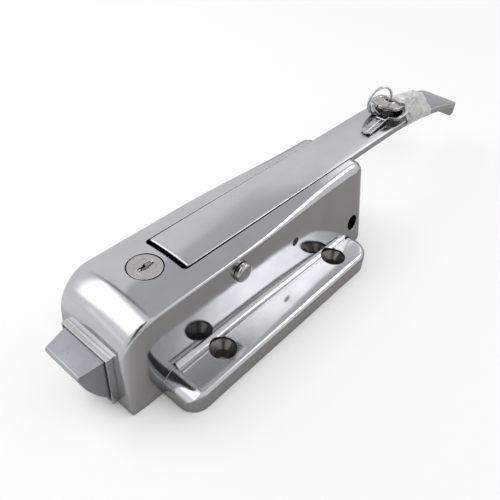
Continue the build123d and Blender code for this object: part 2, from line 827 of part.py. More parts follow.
def seat_pin():
    reach = wall_half_at(seat_pin_x, seat_pin_z) - seat_pin_recess
    return cross_rod(seat_pin_radius, seat_pin_x, seat_pin_z, -reach, reach)


def spring_guides():
    x0 = bolt_rear_x - guide_entry
    x1 = seat_x + seat_thickness
    rods = []
    for y in (-spring_y, spring_y):
        place = Pos((x0 + x1) / 2, y, spring_axis_z) * Rot(0, 90, 0)
        rods.append(place * Cylinder(guide_radius, x1 - x0))
    return Compound(children=rods)


def bolt_springs():
    coils = []
    for y in (-spring_y, spring_y):
        coil = half_turn_coil(spring_mean_radius, spring_pitch, 2 * spring_turns, spring_wire_radius)
        start_x = bolt_rear_x + spring_end_gap + spring_wire_radius
        coils.append(Pos(start_x, y, spring_axis_z) * Rot(0, 90, 0) * coil)
    return Compound(children=coils)


def release_plunger():
    z0 = plate_top + wear_gap
    plunger = rod(plunger_foot_radius, plunger_x, 0, z0, z0 + plunger_foot_height)
    plunger += rod(plunger_radius, plunger_x, 0, z0, handle_under - plunger_gap)
    return plunger - rod(socket_radius, plunger_x, 0, z0 - 1, z0 + socket_depth)


def handle_bumper():
    x0 = bumper_x - bumper_length / 2
    half = bumper_width / 2
    return box(x0, x0 + bumper_length, -half, half, deck_top, handle_under - bumper_gap)


def key(x, y, z, angle, slope):
    # Hexagonal bow with rounded corners and a plain blade, its hole where the ring passes.
    bow = extrude(RegularPolygon(key_bow_radius, 6), key_thickness / 2, both=True)
    bow = fillet(bow.edges().filter_by(Axis.Z), key_bow_radius / 4)
    half = key_blade_width / 2
    blade = box(-key_reach, 0, -half, half, -key_thickness / 2, key_thickness / 2)
    blank = Rot(0, 0, angle) * (bow + blade)
    offset = math.sqrt(ring_mean_radius**2 - (ring_z - z)**2)
    lean = math.radians(ring_angle)
    hole_x = ring_x + offset * math.cos(lean) - x
    hole_y = ring_y + offset * math.sin(lean) - y
    blank -= rod(key_hole_radius, hole_x, hole_y, -key_thickness, key_thickness)
    return Pos(x, y, z) * Rot(0, -math.degrees(math.atan(slope)), 0) * blank


def key_lower():
    # The ring lifts the bow, and the blade's tip rests on the handle.
    return key(lower_key_x, lower_key_y, lower_key_z, lower_key_angle, lower_key_rise)


def key_upper():
    # Rests on the raised end of the lower bow and falls towards the tape that holds its blade.
    return key(upper_key_x, upper_key_y, upper_key_z, upper_key_angle, upper_key_slope)


def key_ring():
    coil = half_turn_coil(ring_mean_radius, ring_pitch, ring_half_turns, ring_wire_radius)
    coil = Pos(0, 0, -ring_half_turns * ring_pitch / 4) * coil
    return Pos(ring_x, ring_y, ring_z) * Rot(0, 0, ring_angle) * Rot(90, 0, 0) * coil


def tape_section(x, crest):
    edge = handle_tip_half + tape_gap
    over = handle_top_at(x) + tape_gap
    peak = crest + tape_gap
    flat = key_blade_width
    low = over - handle_thickness
    outer = edge + tape_thickness
    upper = over + tape_thickness
    points = [
        (-outer, low), (-outer, upper), (-flat, peak + tape_thickness), (flat, peak + tape_thickness),
        (outer, upper), (outer, low), (edge, low), (edge, over), (flat, peak), (-flat, peak),
        (-edge, over), (-edge, low),
    ]
    plane = Plane(origin=(x, 0, 0), x_dir=(0, 1, 0), z_dir=(1, 0, 0))
    return plane * make_face(Polyline(*points, close=True))


def key_tape():
    blade_end_x = upper_key_x + key_reach + tape_gap
    key_top = upper_key_z + key_thickness / 2 + key_gap

    def key_top_at(x):
        return key_top + (x - upper_key_x) * upper_key_slope

    end_x = tape_start_x + tape_length
    sections = [
        tape_section(tape_start_x, key_top_at(tape_start_x)),
        tape_section(blade_end_x, key_top_at(blade_end_x)),
        tape_section(end_x, handle_top_at(end_x) + tape_gap),
    ]
    return loft(sections, ruled=True)


nodes = {
    "housing": housing,
    "bolt_collar": bolt_collar,
    "back_plate": back_plate,
    "plate_screws": plate_screws,
    "wear_strips": wear_strips,
    "bolt": bolt,
    "bolt_springs": bolt_springs,
    "spring_guides": spring_guides,
    "spring_seat": spring_seat,
    "seat_pin": seat_pin,
    "handle": handle,
    "pivot_pin": pivot_pin,
    "pivot_clip": pivot_clip,
    "pivot_washers": pivot_washers,
    "lug_roller": lug_roller,
    "roller_pin": roller_pin,
    "handle_bumper": handle_bumper,
    "release_plunger": release_plunger,
    "lock_barrel": lock_barrel,
    "lock_plug": lock_plug,
    "lock_shutter": lock_shutter,
    "lock_nut": lock_nut,
    "lock_cam": lock_cam,
    "cam_screw": cam_screw,
    "key_lower": key_lower,
    "key_upper": key_upper,
    "key_ring": key_ring,
    "key_tape": key_tape,
}

os.makedirs("parts", exist_ok=True)
for name, make in nodes.items():
    export_step(make(), f"parts/{name}.step")

print("bolt travel", round(bolt_travel, 3), "release travel", round(release_travel, 3))
print("spring gap", round(coil_gap(spring_mean_radius, spring_pitch, spring_wire_radius), 3))
print("ring gap", round(coil_gap(ring_mean_radius, ring_pitch, ring_wire_radius), 3))
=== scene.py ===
import bpy
import bmesh
import math
from mathutils import Matrix, Vector, noise


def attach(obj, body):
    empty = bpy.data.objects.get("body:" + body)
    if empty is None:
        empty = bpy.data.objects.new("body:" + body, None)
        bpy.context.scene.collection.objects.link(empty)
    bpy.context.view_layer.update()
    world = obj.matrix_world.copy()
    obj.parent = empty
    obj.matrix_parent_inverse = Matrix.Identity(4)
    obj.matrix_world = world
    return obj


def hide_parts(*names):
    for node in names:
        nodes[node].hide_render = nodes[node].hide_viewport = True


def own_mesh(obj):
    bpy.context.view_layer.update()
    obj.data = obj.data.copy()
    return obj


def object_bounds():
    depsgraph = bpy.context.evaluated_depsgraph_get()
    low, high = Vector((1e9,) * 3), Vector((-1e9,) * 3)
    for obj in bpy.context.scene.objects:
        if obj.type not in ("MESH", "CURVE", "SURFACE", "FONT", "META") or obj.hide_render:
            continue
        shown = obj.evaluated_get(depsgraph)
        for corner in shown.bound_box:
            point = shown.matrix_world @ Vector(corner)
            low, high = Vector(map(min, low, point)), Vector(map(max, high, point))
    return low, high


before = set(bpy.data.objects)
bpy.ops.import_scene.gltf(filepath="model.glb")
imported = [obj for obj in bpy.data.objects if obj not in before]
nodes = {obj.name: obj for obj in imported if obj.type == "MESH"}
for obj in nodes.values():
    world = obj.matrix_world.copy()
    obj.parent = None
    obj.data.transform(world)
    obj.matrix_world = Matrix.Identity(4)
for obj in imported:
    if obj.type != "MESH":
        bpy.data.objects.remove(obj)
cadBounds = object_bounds()
mm = 0.001
print("frame loaded")


# Node helpers: what the finishes below are put together from
finishSteps = dict(
    samples=4, cloud=(0.3, 0.7), speck=(0.7, 0.78), streak=(0.6, 0.72), cross=(0.66, 0.76),
    roughCloud=(0.25, 0.75), hollowRough=0.3, edgeBand=(0.995, 0.8), plasticHollow=(0.75, 0.25),
)
# Detail, roughness and distortion of each noise.
noiseSteps = dict(
    cloud=(4.0, 0.55, 0.4), grain=(2.0, 0.6), speck=(1.0,), streak=(4.0, 0.7), cross=(3.0, 0.7), wave=(2.0,),
    plasticCloud=(4.0, 0.55, 0.3), plasticGrain=(3.0, 0.6), filmCloud=(3.0, 0.5, 1.2),
)


def startMaterial(name):
    material = bpy.data.materials.new(name)
    material.use_nodes = True
    tree = material.node_tree
    tree.nodes.clear()
    shader = addNode(tree, "BsdfPrincipled")
    addNode(tree, "OutputMaterial", {0: shader.outputs[0]})
    return material, tree, shader


def feed(tree, socket, value):
    if hasattr(value, "is_output"):
        tree.links.new(value, socket)
    else:
        socket.default_value = value


def addNode(tree, kind, values=None):
    # Values are given by the names or numbers of their sockets; another node's output is linked.
    node = tree.nodes.new("ShaderNode" + kind)
    for socket, value in (values or {}).items():
        feed(tree, node.inputs[socket], value)
    return node


def stretched(tree, scale, turn=(0, 0, 0)):
    place = addNode(tree, "TexCoord").outputs["Object"]
    turn = [math.radians(t) for t in turn]
    return addNode(tree, "Mapping", {"Vector": place, "Scale": scale, "Rotation": turn}).outputs["Vector"]


def noiseOf(tree, vector, scale, detail=3.0, roughness=0.5, distortion=0.0):
    values = {"Vector": vector, "Scale": scale, "Detail": detail, "Roughness": roughness,
              "Distortion": distortion}
    return addNode(tree, "TexNoise", values).outputs["Fac"]


def cellsOf(tree, vector, scale):
    return addNode(tree, "TexVoronoi", {"Vector": vector, "Scale": scale}).outputs["Distance"]


def remap(tree, value, fromLow, fromHigh, toLow, toHigh):
    values = {"Value": value, "From Min": fromLow, "From Max": fromHigh, "To Min": toLow, "To Max": toHigh}
    return addNode(tree, "MapRange", values).outputs["Result"]


def combine(tree, operation, a, b):
    node = addNode(tree, "Math", {0: a, 1: b})
    node.operation = operation
    return node.outputs[0]


def blendColour(tree, factor, a, b):
    node = tree.nodes.new("ShaderNodeMix")
    node.data_type = "RGBA"
    feed(tree, node.inputs[0], factor)
    feed(tree, node.inputs[6], a if hasattr(a, "is_output") else (*a, 1))
    feed(tree, node.inputs[7], b if hasattr(b, "is_output") else (*b, 1))
    return node.outputs[2]


def bumpOf(tree, height, distance, normal=None):
    values = {"Strength": 1.0, "Distance": distance, "Height": height}
    if normal:
        values["Normal"] = normal
    return addNode(tree, "Bump", values).outputs["Normal"]


def softEdge(tree, radius):
    node = addNode(tree, "Bevel", {"Radius": radius})
    node.samples = finishSteps["samples"]
    return node.outputs["Normal"]


def crevice(tree, distance):
    node = addNode(tree, "AmbientOcclusion", {"Distance": distance})
    node.samples = finishSteps["samples"]
    return node.outputs["AO"]


def edgeWearAndHighlight(tree, radius):
    # Where the rounded normal leaves the true one, the surface is an edge: it gets rubbed, and is painted
    # lighter there as a highlight.
    true = addNode(tree, "NewGeometry").outputs["Normal"]
    node = addNode(tree, "VectorMath", {0: softEdge(tree, radius), 1: true})
    node.operation = "DOT_PRODUCT"
    return remap(tree, node.outputs["Value"], *finishSteps["edgeBand"], 0.0, 1.0)


def holeMask(tree, bores):
    # One in the four screw holes, by the distance from the nearest hole's axis.
    parts = addNode(tree, "SeparateXYZ", {0: stretched(tree, (1, 1, 1))})
    squares = []
    for axis, half in enumerate(bores["half"]):
        away = combine(tree, "SUBTRACT", combine(tree, "ABSOLUTE", parts.outputs[axis], 0.0), half)
        squares.append(combine(tree, "MULTIPLY", away, away))
    far = combine(tree, "SQRT", combine(tree, "ADD", squares[0], squares[1]), 0.0)
    return remap(tree, far, bores["radius"] + bores["rim"], bores["radius"] - bores["rim"], 0, 1)


def platedMetal(name, look):
    steps = finishSteps
    material, tree, shader = startMaterial(name)
    plain = stretched(tree, (1, 1, 1))
    shader.inputs["Metallic"].default_value = 1.0
    cloud = noiseOf(tree, plain, look["cloudScale"], *noiseSteps["cloud"])
    fine = noiseOf(tree, plain, look["grainScale"], *noiseSteps["grain"])
    colour = blendColour(tree, remap(tree, cloud, *steps["cloud"], 0, 1), look["base"], look["shade"])
    specks = noiseOf(tree, plain, look["speckScale"], *noiseSteps["speck"])
    colour = blendColour(tree, remap(tree, specks, *steps["speck"], 0, look["speck"]), colour, look["dirtAndShade"])
    # Hollows, gaps and bores are darkened by ambient occlusion towards the dirt colour: painted shade.
    hollow = remap(tree, crevice(tree, look["crevice"]), *look["hollow"], 0, look["hollowShade"])
    colour = blendColour(tree, hollow, colour, look["dirtAndShade"])
    # Edges are mixed towards a lighter colour: partly rubbed wear, partly a painted highlight.
    wearAndHighlight = combine(tree, "MULTIPLY", edgeWearAndHighlight(tree, look["edge"]), look["wearAndHighlight"])
    colour = blendColour(tree, wearAndHighlight, colour, look["wornAndHighlightColour"])
    # Inside the four screw holes the colour is darkened as painted shade, and the gloss is rougher.
    bores = look.get("bores")
    inside = holeMask(tree, bores) if bores else None
    if bores:
        cover = combine(tree, "MULTIPLY", inside, bores["cover"])
        colour = blendColour(tree, cover, colour, bores["colour"])
    tree.links.new(colour, shader.inputs["Base Color"])
    # Fine scratches, most of them along one way, show in the gloss and a little in the relief.
    streak = noiseOf(tree, stretched(tree, look["streak"], look["streakTurn"]), 1.0, *noiseSteps["streak"])
    cross = noiseOf(tree, stretched(tree, look["streak"], look["crossTurn"]), 1.0, *noiseSteps["cross"])
    along = remap(tree, streak, *steps["streak"], 0, 1)
    marks = combine(tree, "MAXIMUM", along, remap(tree, cross, *steps["cross"], 0, 1))
    rough = remap(tree, cloud, *steps["roughCloud"], *look["rough"])
    rough = combine(tree, "ADD", rough, combine(tree, "MULTIPLY", marks, look["markRough"]))
    rough = combine(tree, "ADD", rough, combine(tree, "MULTIPLY", hollow, steps["hollowRough"]))
    if bores:
        rough = combine(tree, "ADD", rough, combine(tree, "MULTIPLY", inside, bores["rough"]))
    tree.links.new(rough, shader.inputs["Roughness"])
    normal = softEdge(tree, look["edge"])
    waves = noiseOf(tree, plain, look["waveScale"], *noiseSteps["wave"])
    normal = bumpOf(tree, waves, look["wave"], normal)
    normal = bumpOf(tree, fine, look["grain"], normal)
    normal = bumpOf(tree, combine(tree, "SUBTRACT", 1.0, marks), look["scratch"], normal)
    tree.links.new(normal, shader.inputs["Normal"])
    return material


def mouldedPlastic(name, look):
    steps = finishSteps
    material, tree, shader = startMaterial(name)
    plain = stretched(tree, (1, 1, 1))
    cloud = noiseOf(tree, plain, look["cloudScale"], *noiseSteps["plasticCloud"])
    fine = noiseOf(tree, plain, look["grainScale"], *noiseSteps["plasticGrain"])
    # Hollows are darkened by ambient occlusion towards the dirt colour: painted shade.
    hollow = remap(tree, crevice(tree, look["crevice"]), *steps["plasticHollow"], 0, look["hollowShade"])
    colour = blendColour(tree, remap(tree, cloud, *steps["cloud"], 0, 1), look["base"], look["shade"])
    colour = blendColour(tree, hollow, colour, look["dirtAndShade"])
    tree.links.new(colour, shader.inputs["Base Color"])
    tree.links.new(remap(tree, fine, *steps["cloud"], *look["rough"]), shader.inputs["Roughness"])
    normal = bumpOf(tree, fine, look["grain"], softEdge(tree, look["edge"]))
    tree.links.new(normal, shader.inputs["Normal"])
    return material


# Finishes: chrome casting first, the other metals as changes to it, then the plastics
chromeLook = dict(
    base=(0.50, 0.505, 0.52), shade=(0.45, 0.455, 0.475), dirtAndShade=(0.05, 0.043, 0.04), wornAndHighlightColour=(0.66, 0.67, 0.68),
    cloudScale=38.0, grainScale=2600.0, speckScale=900.0, speck=0.12, crevice=0.009, hollow=(0.45, 0.15),
    hollowShade=0.92, edge=0.00045, wearAndHighlight=0.5, streak=(45.0, 2200.0, 2200.0), streakTurn=(0, 0, 0),
    crossTurn=(0, 12, 38), rough=(0.05, 0.13), markRough=0.06, waveScale=70.0, wave=0.00003,
    grain=0.000001, scratch=0.000002,
)
handleLook = dict(
    chromeLook, base=(0.53, 0.53, 0.55), shade=(0.485, 0.49, 0.51), streak=(14.0, 1800.0, 1800.0),
    crossTurn=(0, 0, 9), rough=(0.09, 0.17), waveScale=48.0, wave=0.00004, crevice=0.006, edge=0.0007,
)
collarLook = dict(chromeLook, base=(0.58, 0.59, 0.61), rough=(0.10, 0.2), hollowShade=0.7, edge=0.0004)
boltLook = dict(
    chromeLook, base=(0.325, 0.335, 0.365), shade=(0.275, 0.285, 0.315), wornAndHighlightColour=(0.78, 0.79, 0.80), speck=0.3,
    cloudScale=90.0, grainScale=1800.0, rough=(0.26, 0.4), markRough=0.1, grain=0.000012, wave=0.00003,
    streak=(60.0, 1500.0, 1500.0), edge=0.0006, wearAndHighlight=0.9,
)
plateLook = dict(
    chromeLook, base=(0.52, 0.53, 0.52), shade=(0.42, 0.43, 0.44), rough=(0.3, 0.5), cloudScale=60.0,
    grain=0.000008, streak=(30.0, 1200.0, 1200.0), markRough=0.15, speck=0.5,
)
steelLook = dict(
    chromeLook, base=(0.50, 0.50, 0.50), shade=(0.40, 0.40, 0.40), rough=(0.2, 0.36), grain=0.000005,
    streak=(900.0, 60.0, 900.0), edge=0.00025, crevice=0.002,
)
pinLook = dict(
    steelLook, base=(0.46, 0.45, 0.44), shade=(0.38, 0.37, 0.36), rough=(0.08, 0.2), edge=0.0004,
)
springLook = dict(steelLook, base=(0.42, 0.42, 0.43), shade=(0.32, 0.32, 0.33), edge=0.00005)
castLook = dict(
    chromeLook, base=(0.48, 0.48, 0.48), shade=(0.38, 0.38, 0.38), rough=(0.45, 0.65), grain=0.00003,
    grainScale=1200.0, speck=0.6,
)
lockLook = dict(
    chromeLook, base=(0.48, 0.465, 0.46), shade=(0.41, 0.395, 0.39), rough=(0.22, 0.34), cloudScale=120.0,
    grainScale=3200.0, grain=0.000006, streak=(2400.0, 220.0, 2400.0), crossTurn=(0, 0, 75), edge=0.00035,
    wearAndHighlight=0.9, wornAndHighlightColour=(0.85, 0.85, 0.86), waveScale=160.0, wave=0.00002,
)
shutterLook = dict(
    steelLook, base=(0.92, 0.92, 0.88), shade=(0.78, 0.78, 0.73), edge=0.0002, crevice=0.0005, hollowShade=0.2,
)
wardGreyLook = dict(
    shutterLook, base=(0.34, 0.35, 0.31), shade=(0.26, 0.27, 0.24), rough=(0.3, 0.45),
)
# Near-black finish for the blocks deep in the keyway: painted shade.
wardShadeLook = dict(
    shutterLook, base=(0.16, 0.17, 0.14), shade=(0.10, 0.11, 0.09), wornAndHighlightColour=(0.5, 0.5, 0.46), rough=(0.2, 0.4),
)
ringLook = dict(
    steelLook, base=(0.64, 0.65, 0.66), shade=(0.48, 0.49, 0.50), rough=(0.08, 0.2), edge=0.0001,
)
keyLook = dict(
    steelLook, base=(0.46, 0.445, 0.41), shade=(0.36, 0.345, 0.31), rough=(0.06, 0.16), edge=0.0004,
    wornAndHighlightColour=(0.95, 0.94, 0.92), wearAndHighlight=1.0, crevice=0.0012, hollow=(0.4, 0.1), hollowShade=0.5, speck=0.5,
)
nylonLook = dict(
    base=(0.78, 0.76, 0.69), shade=(0.70, 0.67, 0.60), dirtAndShade=(0.30, 0.28, 0.24), cloudScale=70.0,
    grainScale=1400.0, crevice=0.003, hollowShade=0.5, rough=(0.35, 0.5), grain=0.000008, edge=0.0003,
)
rubberLook = dict(
    nylonLook, base=(0.035, 0.035, 0.036), shade=(0.055, 0.054, 0.052), dirtAndShade=(0.10, 0.095, 0.085),
    rough=(0.6, 0.8), grain=0.00002,
)

# The four screw holes, rougher and painted darker inside as shade: half of their spacing both ways, and their
# radius.
boreShadeLook = dict(
    half=(0.04525, 0.033), radius=0.0069, rim=0.0001, colour=(0.13, 0.115, 0.105), cover=0.8, rough=0.22,
)
keyBrightLook = dict(keyLook, base=(0.50, 0.50, 0.51), shade=(0.43, 0.43, 0.44), wornAndHighlightColour=(0.72, 0.72, 0.73))

chrome = platedMetal("chromeCasting", dict(chromeLook, bores=boreShadeLook))
handleChrome = platedMetal("chromeHandle", handleLook)
collarChrome = platedMetal("chromeCollar", collarLook)
boltZinc = platedMetal("boltZinc", boltLook)
zincPlate = platedMetal("zincPlate", plateLook)
screwSteel = platedMetal("screwSteel", steelLook)
pinSteel = platedMetal("pinSteel", pinLook)
springSteel = platedMetal("springSteel", springLook)
zincCast = platedMetal("zincCast", castLook)
lockChrome = platedMetal("lockChrome", lockLook)
shutterSteel = platedMetal("shutterSteel", shutterLook)
ringSteel = platedMetal("ringSteel", ringLook)
wardShade = platedMetal("wardShade", wardShadeLook)
wardGrey = platedMetal("wardGrey", wardGreyLook)
keyNickel = platedMetal("keyNickel", keyLook)
keyBright = platedMetal("keyBright", keyBrightLook)
nylon = mouldedPlastic("nylon", nylonLook)
rubber = mouldedPlastic("bumperRubber", rubberLook)

nodeFinishes = {
    "housing": chrome, "bolt_collar": collarChrome, "back_plate": zincPlate, "plate_screws": screwSteel,
    "wear_strips": nylon, "bolt": boltZinc, "bolt_springs": springSteel, "spring_guides": screwSteel,
    "spring_seat": zincCast, "seat_pin": screwSteel, "handle": handleChrome, "pivot_pin": pinSteel,
    "pivot_clip": pinSteel, "pivot_washers": nylon, "lug_roller": springSteel, "roller_pin": springSteel,
    "handle_bumper": rubber, "release_plunger": nylon, "lock_barrel": lockChrome, "lock_plug": lockChrome,
    "lock_shutter": shutterSteel, "lock_nut": screwSteel, "lock_cam": screwSteel, "cam_screw": screwSteel,
    "key_lower": keyBright, "key_upper": keyNickel, "key_ring": ringSteel, "key_tape": nylon,
}


def coat(mesh, *finishes):
    # Clearing would also reset the faces' own finishes, so a mesh without any is left as it is.
    if len(mesh.materials):
        mesh.materials.clear()
    for finish in finishes:
        mesh.materials.append(finish)


for name, finish in nodeFinishes.items():
    coat(nodes[name].data, finish)
print("finishes made")


# Stage: pale floor, white sky, two lamps, reflection cards and the camera
stageLook = dict(
    floorColour=(0.90, 0.90, 0.89), floorShade=(0.86, 0.86, 0.855), floorMottle=3.0, floorRough=0.9,
    floorHalf=6.0, floorDrop=0.0002, floorWhite=0.84, shadowReach=0.05, shadowFade=(0.15, 0.95),
    whiteFrom=(0.25, 1.1), skyLight=0.22, skyColour=(0.96, 0.98, 1.0), skyWhite=1.0, white=(1, 1, 1),
    focus=(0.05, 0.0, 0.03), clip=(0.01, 50),
    cameraPlace=(-0.17035, -0.14362, 0.22298), cameraAzimuth=-51.62, cameraElevation=41.70,
    cameraRoll=4.50, focalPixels=561.81, framePixels=500.0, sensor=36.0,
)
lampLooks = {
    "backLamp": dict(towards=(-0.35, 0.70, 0.62), distance=0.9, size=(0.5, 0.5), energy=8.4,
                     colour=(1.0, 0.995, 0.985)),
    "frontLamp": dict(towards=(0.585, -0.464, 0.665), distance=0.9, size=(0.7, 0.5), energy=3.2,
                      colour=(0.98, 0.99, 1.0)),
}
# Cards stand round the set and show only in reflections; spread is half the width and height in degrees.
cardLooks = {
    "noseWindow": dict(towards=(-0.49, 0.46, 0.74), upright=(0.82, 0, 0.57), spread=(30, 29), soft=0.38,
                       light=2.3, cover=1.0, distance=2.2, tint=(1.0, 1.0, 1.0)),
    "sideWindow": dict(towards=(0.64, -0.355, 0.68), spread=(20, 14), soft=0.5, light=3.6, cover=1.0,
                       distance=2.2, tint=(1.0, 1.0, 1.0)),
    "handleWindow": dict(towards=(0.81, 0.13, 0.57), spread=(11, 10), soft=0.8, light=2.1, cover=0.95,
                         distance=2.2, tint=(1.0, 1.0, 1.0)),
    "overhead": dict(towards=(0.462, 0.082, 0.883), spread=(28.3, 22), soft=0.16, light=0.66, cover=1.0,
                     distance=2.4, tint=(0.98, 0.99, 1.03)),
    "cameraSide": dict(towards=(-0.585, -0.464, 0.665), spread=(17, 33), soft=0.35, light=0.05, cover=1.0,
                       distance=1.8, tint=(1.0, 0.93, 0.92)),
    "windowFrame": dict(towards=(0.07, 0.464, 0.883), upright=(1, 0, -0.06), spread=(36, 5), soft=0.8,
                        light=0.22, cover=0.8, distance=2.0, tint=(0.95, 0.97, 1.0)),
    "farWall": dict(towards=(0.93, 0.34, -0.04), spread=(40, 17), soft=0.35, light=0.46, cover=0.95,
                    distance=0.42, tint=(0.94, 0.98, 1.06)),
    "nearWall": dict(towards=(-0.55, -0.83, 0.10), spread=(50, 9), soft=0.6, light=0.25, cover=0.8,
                     distance=1.6, tint=(1.0, 0.98, 0.97)),
    "farHaze": dict(towards=(0.86, 0.38, 0.33), spread=(32, 12), soft=0.9, light=0.78, cover=0.85,
                    distance=0.7, tint=(0.97, 0.99, 1.02)),
    "leftWall": dict(towards=(-0.90, 0.44, 0.14), spread=(22, 9), soft=0.8, light=1.35, cover=0.8,
                     distance=1.6, tint=(1.0, 1.0, 1.02)),
    "lowWindow": dict(towards=(-0.76, 0.46, 0.46), spread=(26, 16), soft=0.7, light=1.30, cover=0.9,
                      distance=2.5, tint=(0.99, 1.0, 1.05)),
}
# These lie on the floor; reach is their extent in X and Y, low how far below the object's foot they lie.
floorCardLooks = {
    "lowCard": dict(reach=(-0.17, 0.37, -0.18, 0.10), low=0.0001, soft=0.4, light=0.20, cover=0.75,
                    tint=(1.12, 1.0, 0.88)),
    "tipCard": dict(reach=(0.24, 0.62, -0.08, 0.34), low=0.00015, soft=0.35, light=0.44, cover=0.9,
                    tint=(0.97, 0.99, 1.05)),
}
cardMake = dict(steps=12, cloudScale=1.3, cloud=(0.3, 0.7), thinnest=0.9)


def seenWhite(tree):
    # True for what the camera, a reflection or a clear surface sees.
    seen = addNode(tree, "LightPath").outputs
    direct = combine(tree, "MAXIMUM", seen["Is Camera Ray"], seen["Is Glossy Ray"])
    return combine(tree, "MAXIMUM", direct, seen["Is Transmission Ray"])


def glowOf(tree, kind, colour, strength):
    return addNode(tree, kind, {"Color": (*colour, 1), "Strength": strength})


def mixInto(tree, output, factor, under, over):
    mixer = addNode(tree, "MixShader", {0: factor, 1: under.outputs[0], 2: over.outputs[0]})
    tree.links.new(mixer.outputs[0], output.inputs[0])


def placeMesh(name, mesh):
    piece = bpy.data.objects.new(name, mesh)
    bpy.context.scene.collection.objects.link(piece)
    return piece


def addMesh(name, points, faces):
    mesh = bpy.data.meshes.new(name)
    mesh.from_pydata(points, [], faces)
    return placeMesh(name, mesh)


def smooth(piece, degrees):
    # Shades smoothly, but keeps edges sharper than this angle.
    piece.data.polygons.foreach_set("use_smooth", [True] * len(piece.data.polygons))
    piece.data.set_sharp_from_angle(angle=math.radians(degrees))


def makeFloor():
    look = stageLook
    half = look["floorHalf"]
    corners = [(-half, -half, 0), (half, -half, 0), (half, half, 0), (-half, half, 0)]
    floor = addMesh("floor", corners, [(0, 1, 2, 3)])
    floor.location.z = cadBounds[0].z - look["floorDrop"]
    material, tree, shader = startMaterial("floorPaper")
    mottle = noiseOf(tree, stretched(tree, (1, 1, 1)), look["floorMottle"])
    tone = blendColour(tree, mottle, look["floorColour"], look["floorShade"])
    tree.links.new(tone, shader.inputs["Base Color"])
    shader.inputs["Roughness"].default_value = look["floorRough"]
    # White where nothing stands near, so that only the object's own shadow stays grey.
    glow = glowOf(tree, "Emission", look["white"], look["skyWhite"])
    nearby = remap(tree, crevice(tree, look["shadowReach"]), *look["shadowFade"], 0, look["floorWhite"])
    length = addNode(tree, "VectorMath", {0: stretched(tree, (1, 1, 0))})
    length.operation = "LENGTH"
    outward = remap(tree, length.outputs["Value"], *look["whiteFrom"], 0, 1)
    outward.node.interpolation_type = "SMOOTHSTEP"
    factor = combine(tree, "MULTIPLY", seenWhite(tree), combine(tree, "MAXIMUM", nearby, outward))
    output = [n for n in tree.nodes if n.type == "OUTPUT_MATERIAL"][0]
    mixInto(tree, output, factor, shader, glow)
    coat(floor.data, material)


def makeSky():
    world = bpy.data.worlds.new("studioSky")
    bpy.context.scene.world = world
    world.use_nodes = True
    tree = world.node_tree
    tree.nodes.clear()
    look = stageLook
    light = glowOf(tree, "Background", look["skyColour"], look["skyLight"])
    white = glowOf(tree, "Background", look["white"], look["skyWhite"])
    mixInto(tree, addNode(tree, "OutputWorld"), seenWhite(tree), light, white)


def facing(direction, upright=(0, 0, 1)):
    # Turn whose Z points along the direction, with its Y as near to upright as it can be.
    z = Vector(direction).normalized()
    x = Vector(upright).cross(z).normalized()
    return Matrix((x, z.cross(x), z)).transposed()


def makeLamp(name, look):
    lamp = bpy.data.lights.new(name, "AREA")
    lamp.shape = "RECTANGLE"
    lamp.size, lamp.size_y = look["size"]
    lamp.energy = look["energy"]
    lamp.color = look["colour"]
    holder = bpy.data.objects.new(name, lamp)
    bpy.context.scene.collection.objects.link(holder)
    place = Vector(stageLook["focus"]) + Vector(look["towards"]).normalized() * look["distance"]
    holder.matrix_world = Matrix.Translation(place) @ facing(look["towards"]).to_4x4()
    holder.visible_glossy = False


def makeCard(name, look):
    # Bent round the set, and fading out towards its rim.
    distance = look["distance"]
    turn = facing(look["towards"], look.get("upright", (0, 0, 1)))
    wide, high = [math.radians(s) for s in look["spread"]]
    steps = cardMake["steps"]
    points = []
    for j in range(steps + 1):
        for i in range(steps + 1):
            a = wide * (2 * i / steps - 1)
            b = high * (2 * j / steps - 1)
            local = Vector((math.sin(a) * math.cos(b), math.sin(b), math.cos(a) * math.cos(b)))
            points.append(Vector(stageLook["focus"]) + turn @ local * distance)
    showCard(name, look, points)


def layCard(name, look):
    # Lies on the floor round the object.
    steps = cardMake["steps"]
    x0, x1, y0, y1 = look["reach"]
    z = cadBounds[0].z - look["low"]
    points = [(x0 + (x1 - x0) * i / steps, y0 + (y1 - y0) * j / steps, z)
              for j in range(steps + 1) for i in range(steps + 1)]
    showCard(name, look, points)


def gridFaces(rows, columns):
    n = columns + 1
    return [(j * n + i, j * n + i + 1, j * n + n + i + 1, j * n + n + i) for j in range(rows)
            for i in range(columns)]


def showCard(name, look, points):
    steps = cardMake["steps"]
    card = addMesh(name, points, gridFaces(steps, steps))
    layer = card.data.uv_layers.new(name="spread")
    for loop in card.data.loops:
        row, column = divmod(loop.vertex_index, steps + 1)
        layer.data[loop.index].uv = (2 * column / steps - 1, 2 * row / steps - 1)
    card.visible_camera = False
    card.visible_diffuse = False
    card.visible_shadow = False
    card.visible_transmission = False
    material = bpy.data.materials.new(name + "Card")
    material.use_nodes = True
    tree = material.node_tree
    tree.nodes.clear()
    where = addNode(tree, "UVMap")
    where.uv_map = "spread"
    parts = addNode(tree, "SeparateXYZ", {0: where.outputs[0]})
    fades = []
    for axis in (0, 1):
        away = combine(tree, "ABSOLUTE", parts.outputs[axis], 0.0)
        fade = remap(tree, away, 1.0, 1.0 - look["soft"], 0.0, 1.0)
        fade.node.interpolation_type = "SMOOTHSTEP"
        fades.append(fade)
    cover = combine(tree, "MULTIPLY", fades[0], fades[1])
    cloud = noiseOf(tree, stretched(tree, (1, 1, 1)), cardMake["cloudScale"])
    cloud = remap(tree, cloud, *cardMake["cloud"], cardMake["thinnest"], 1.0)
    cover = combine(tree, "MULTIPLY", combine(tree, "MULTIPLY", cover, cloud), look["cover"])
    clear = addNode(tree, "BsdfTransparent")
    glow = glowOf(tree, "Emission", look["tint"], look["light"])
    mixInto(tree, addNode(tree, "OutputMaterial"), cover, clear, glow)
    coat(card.data, material)


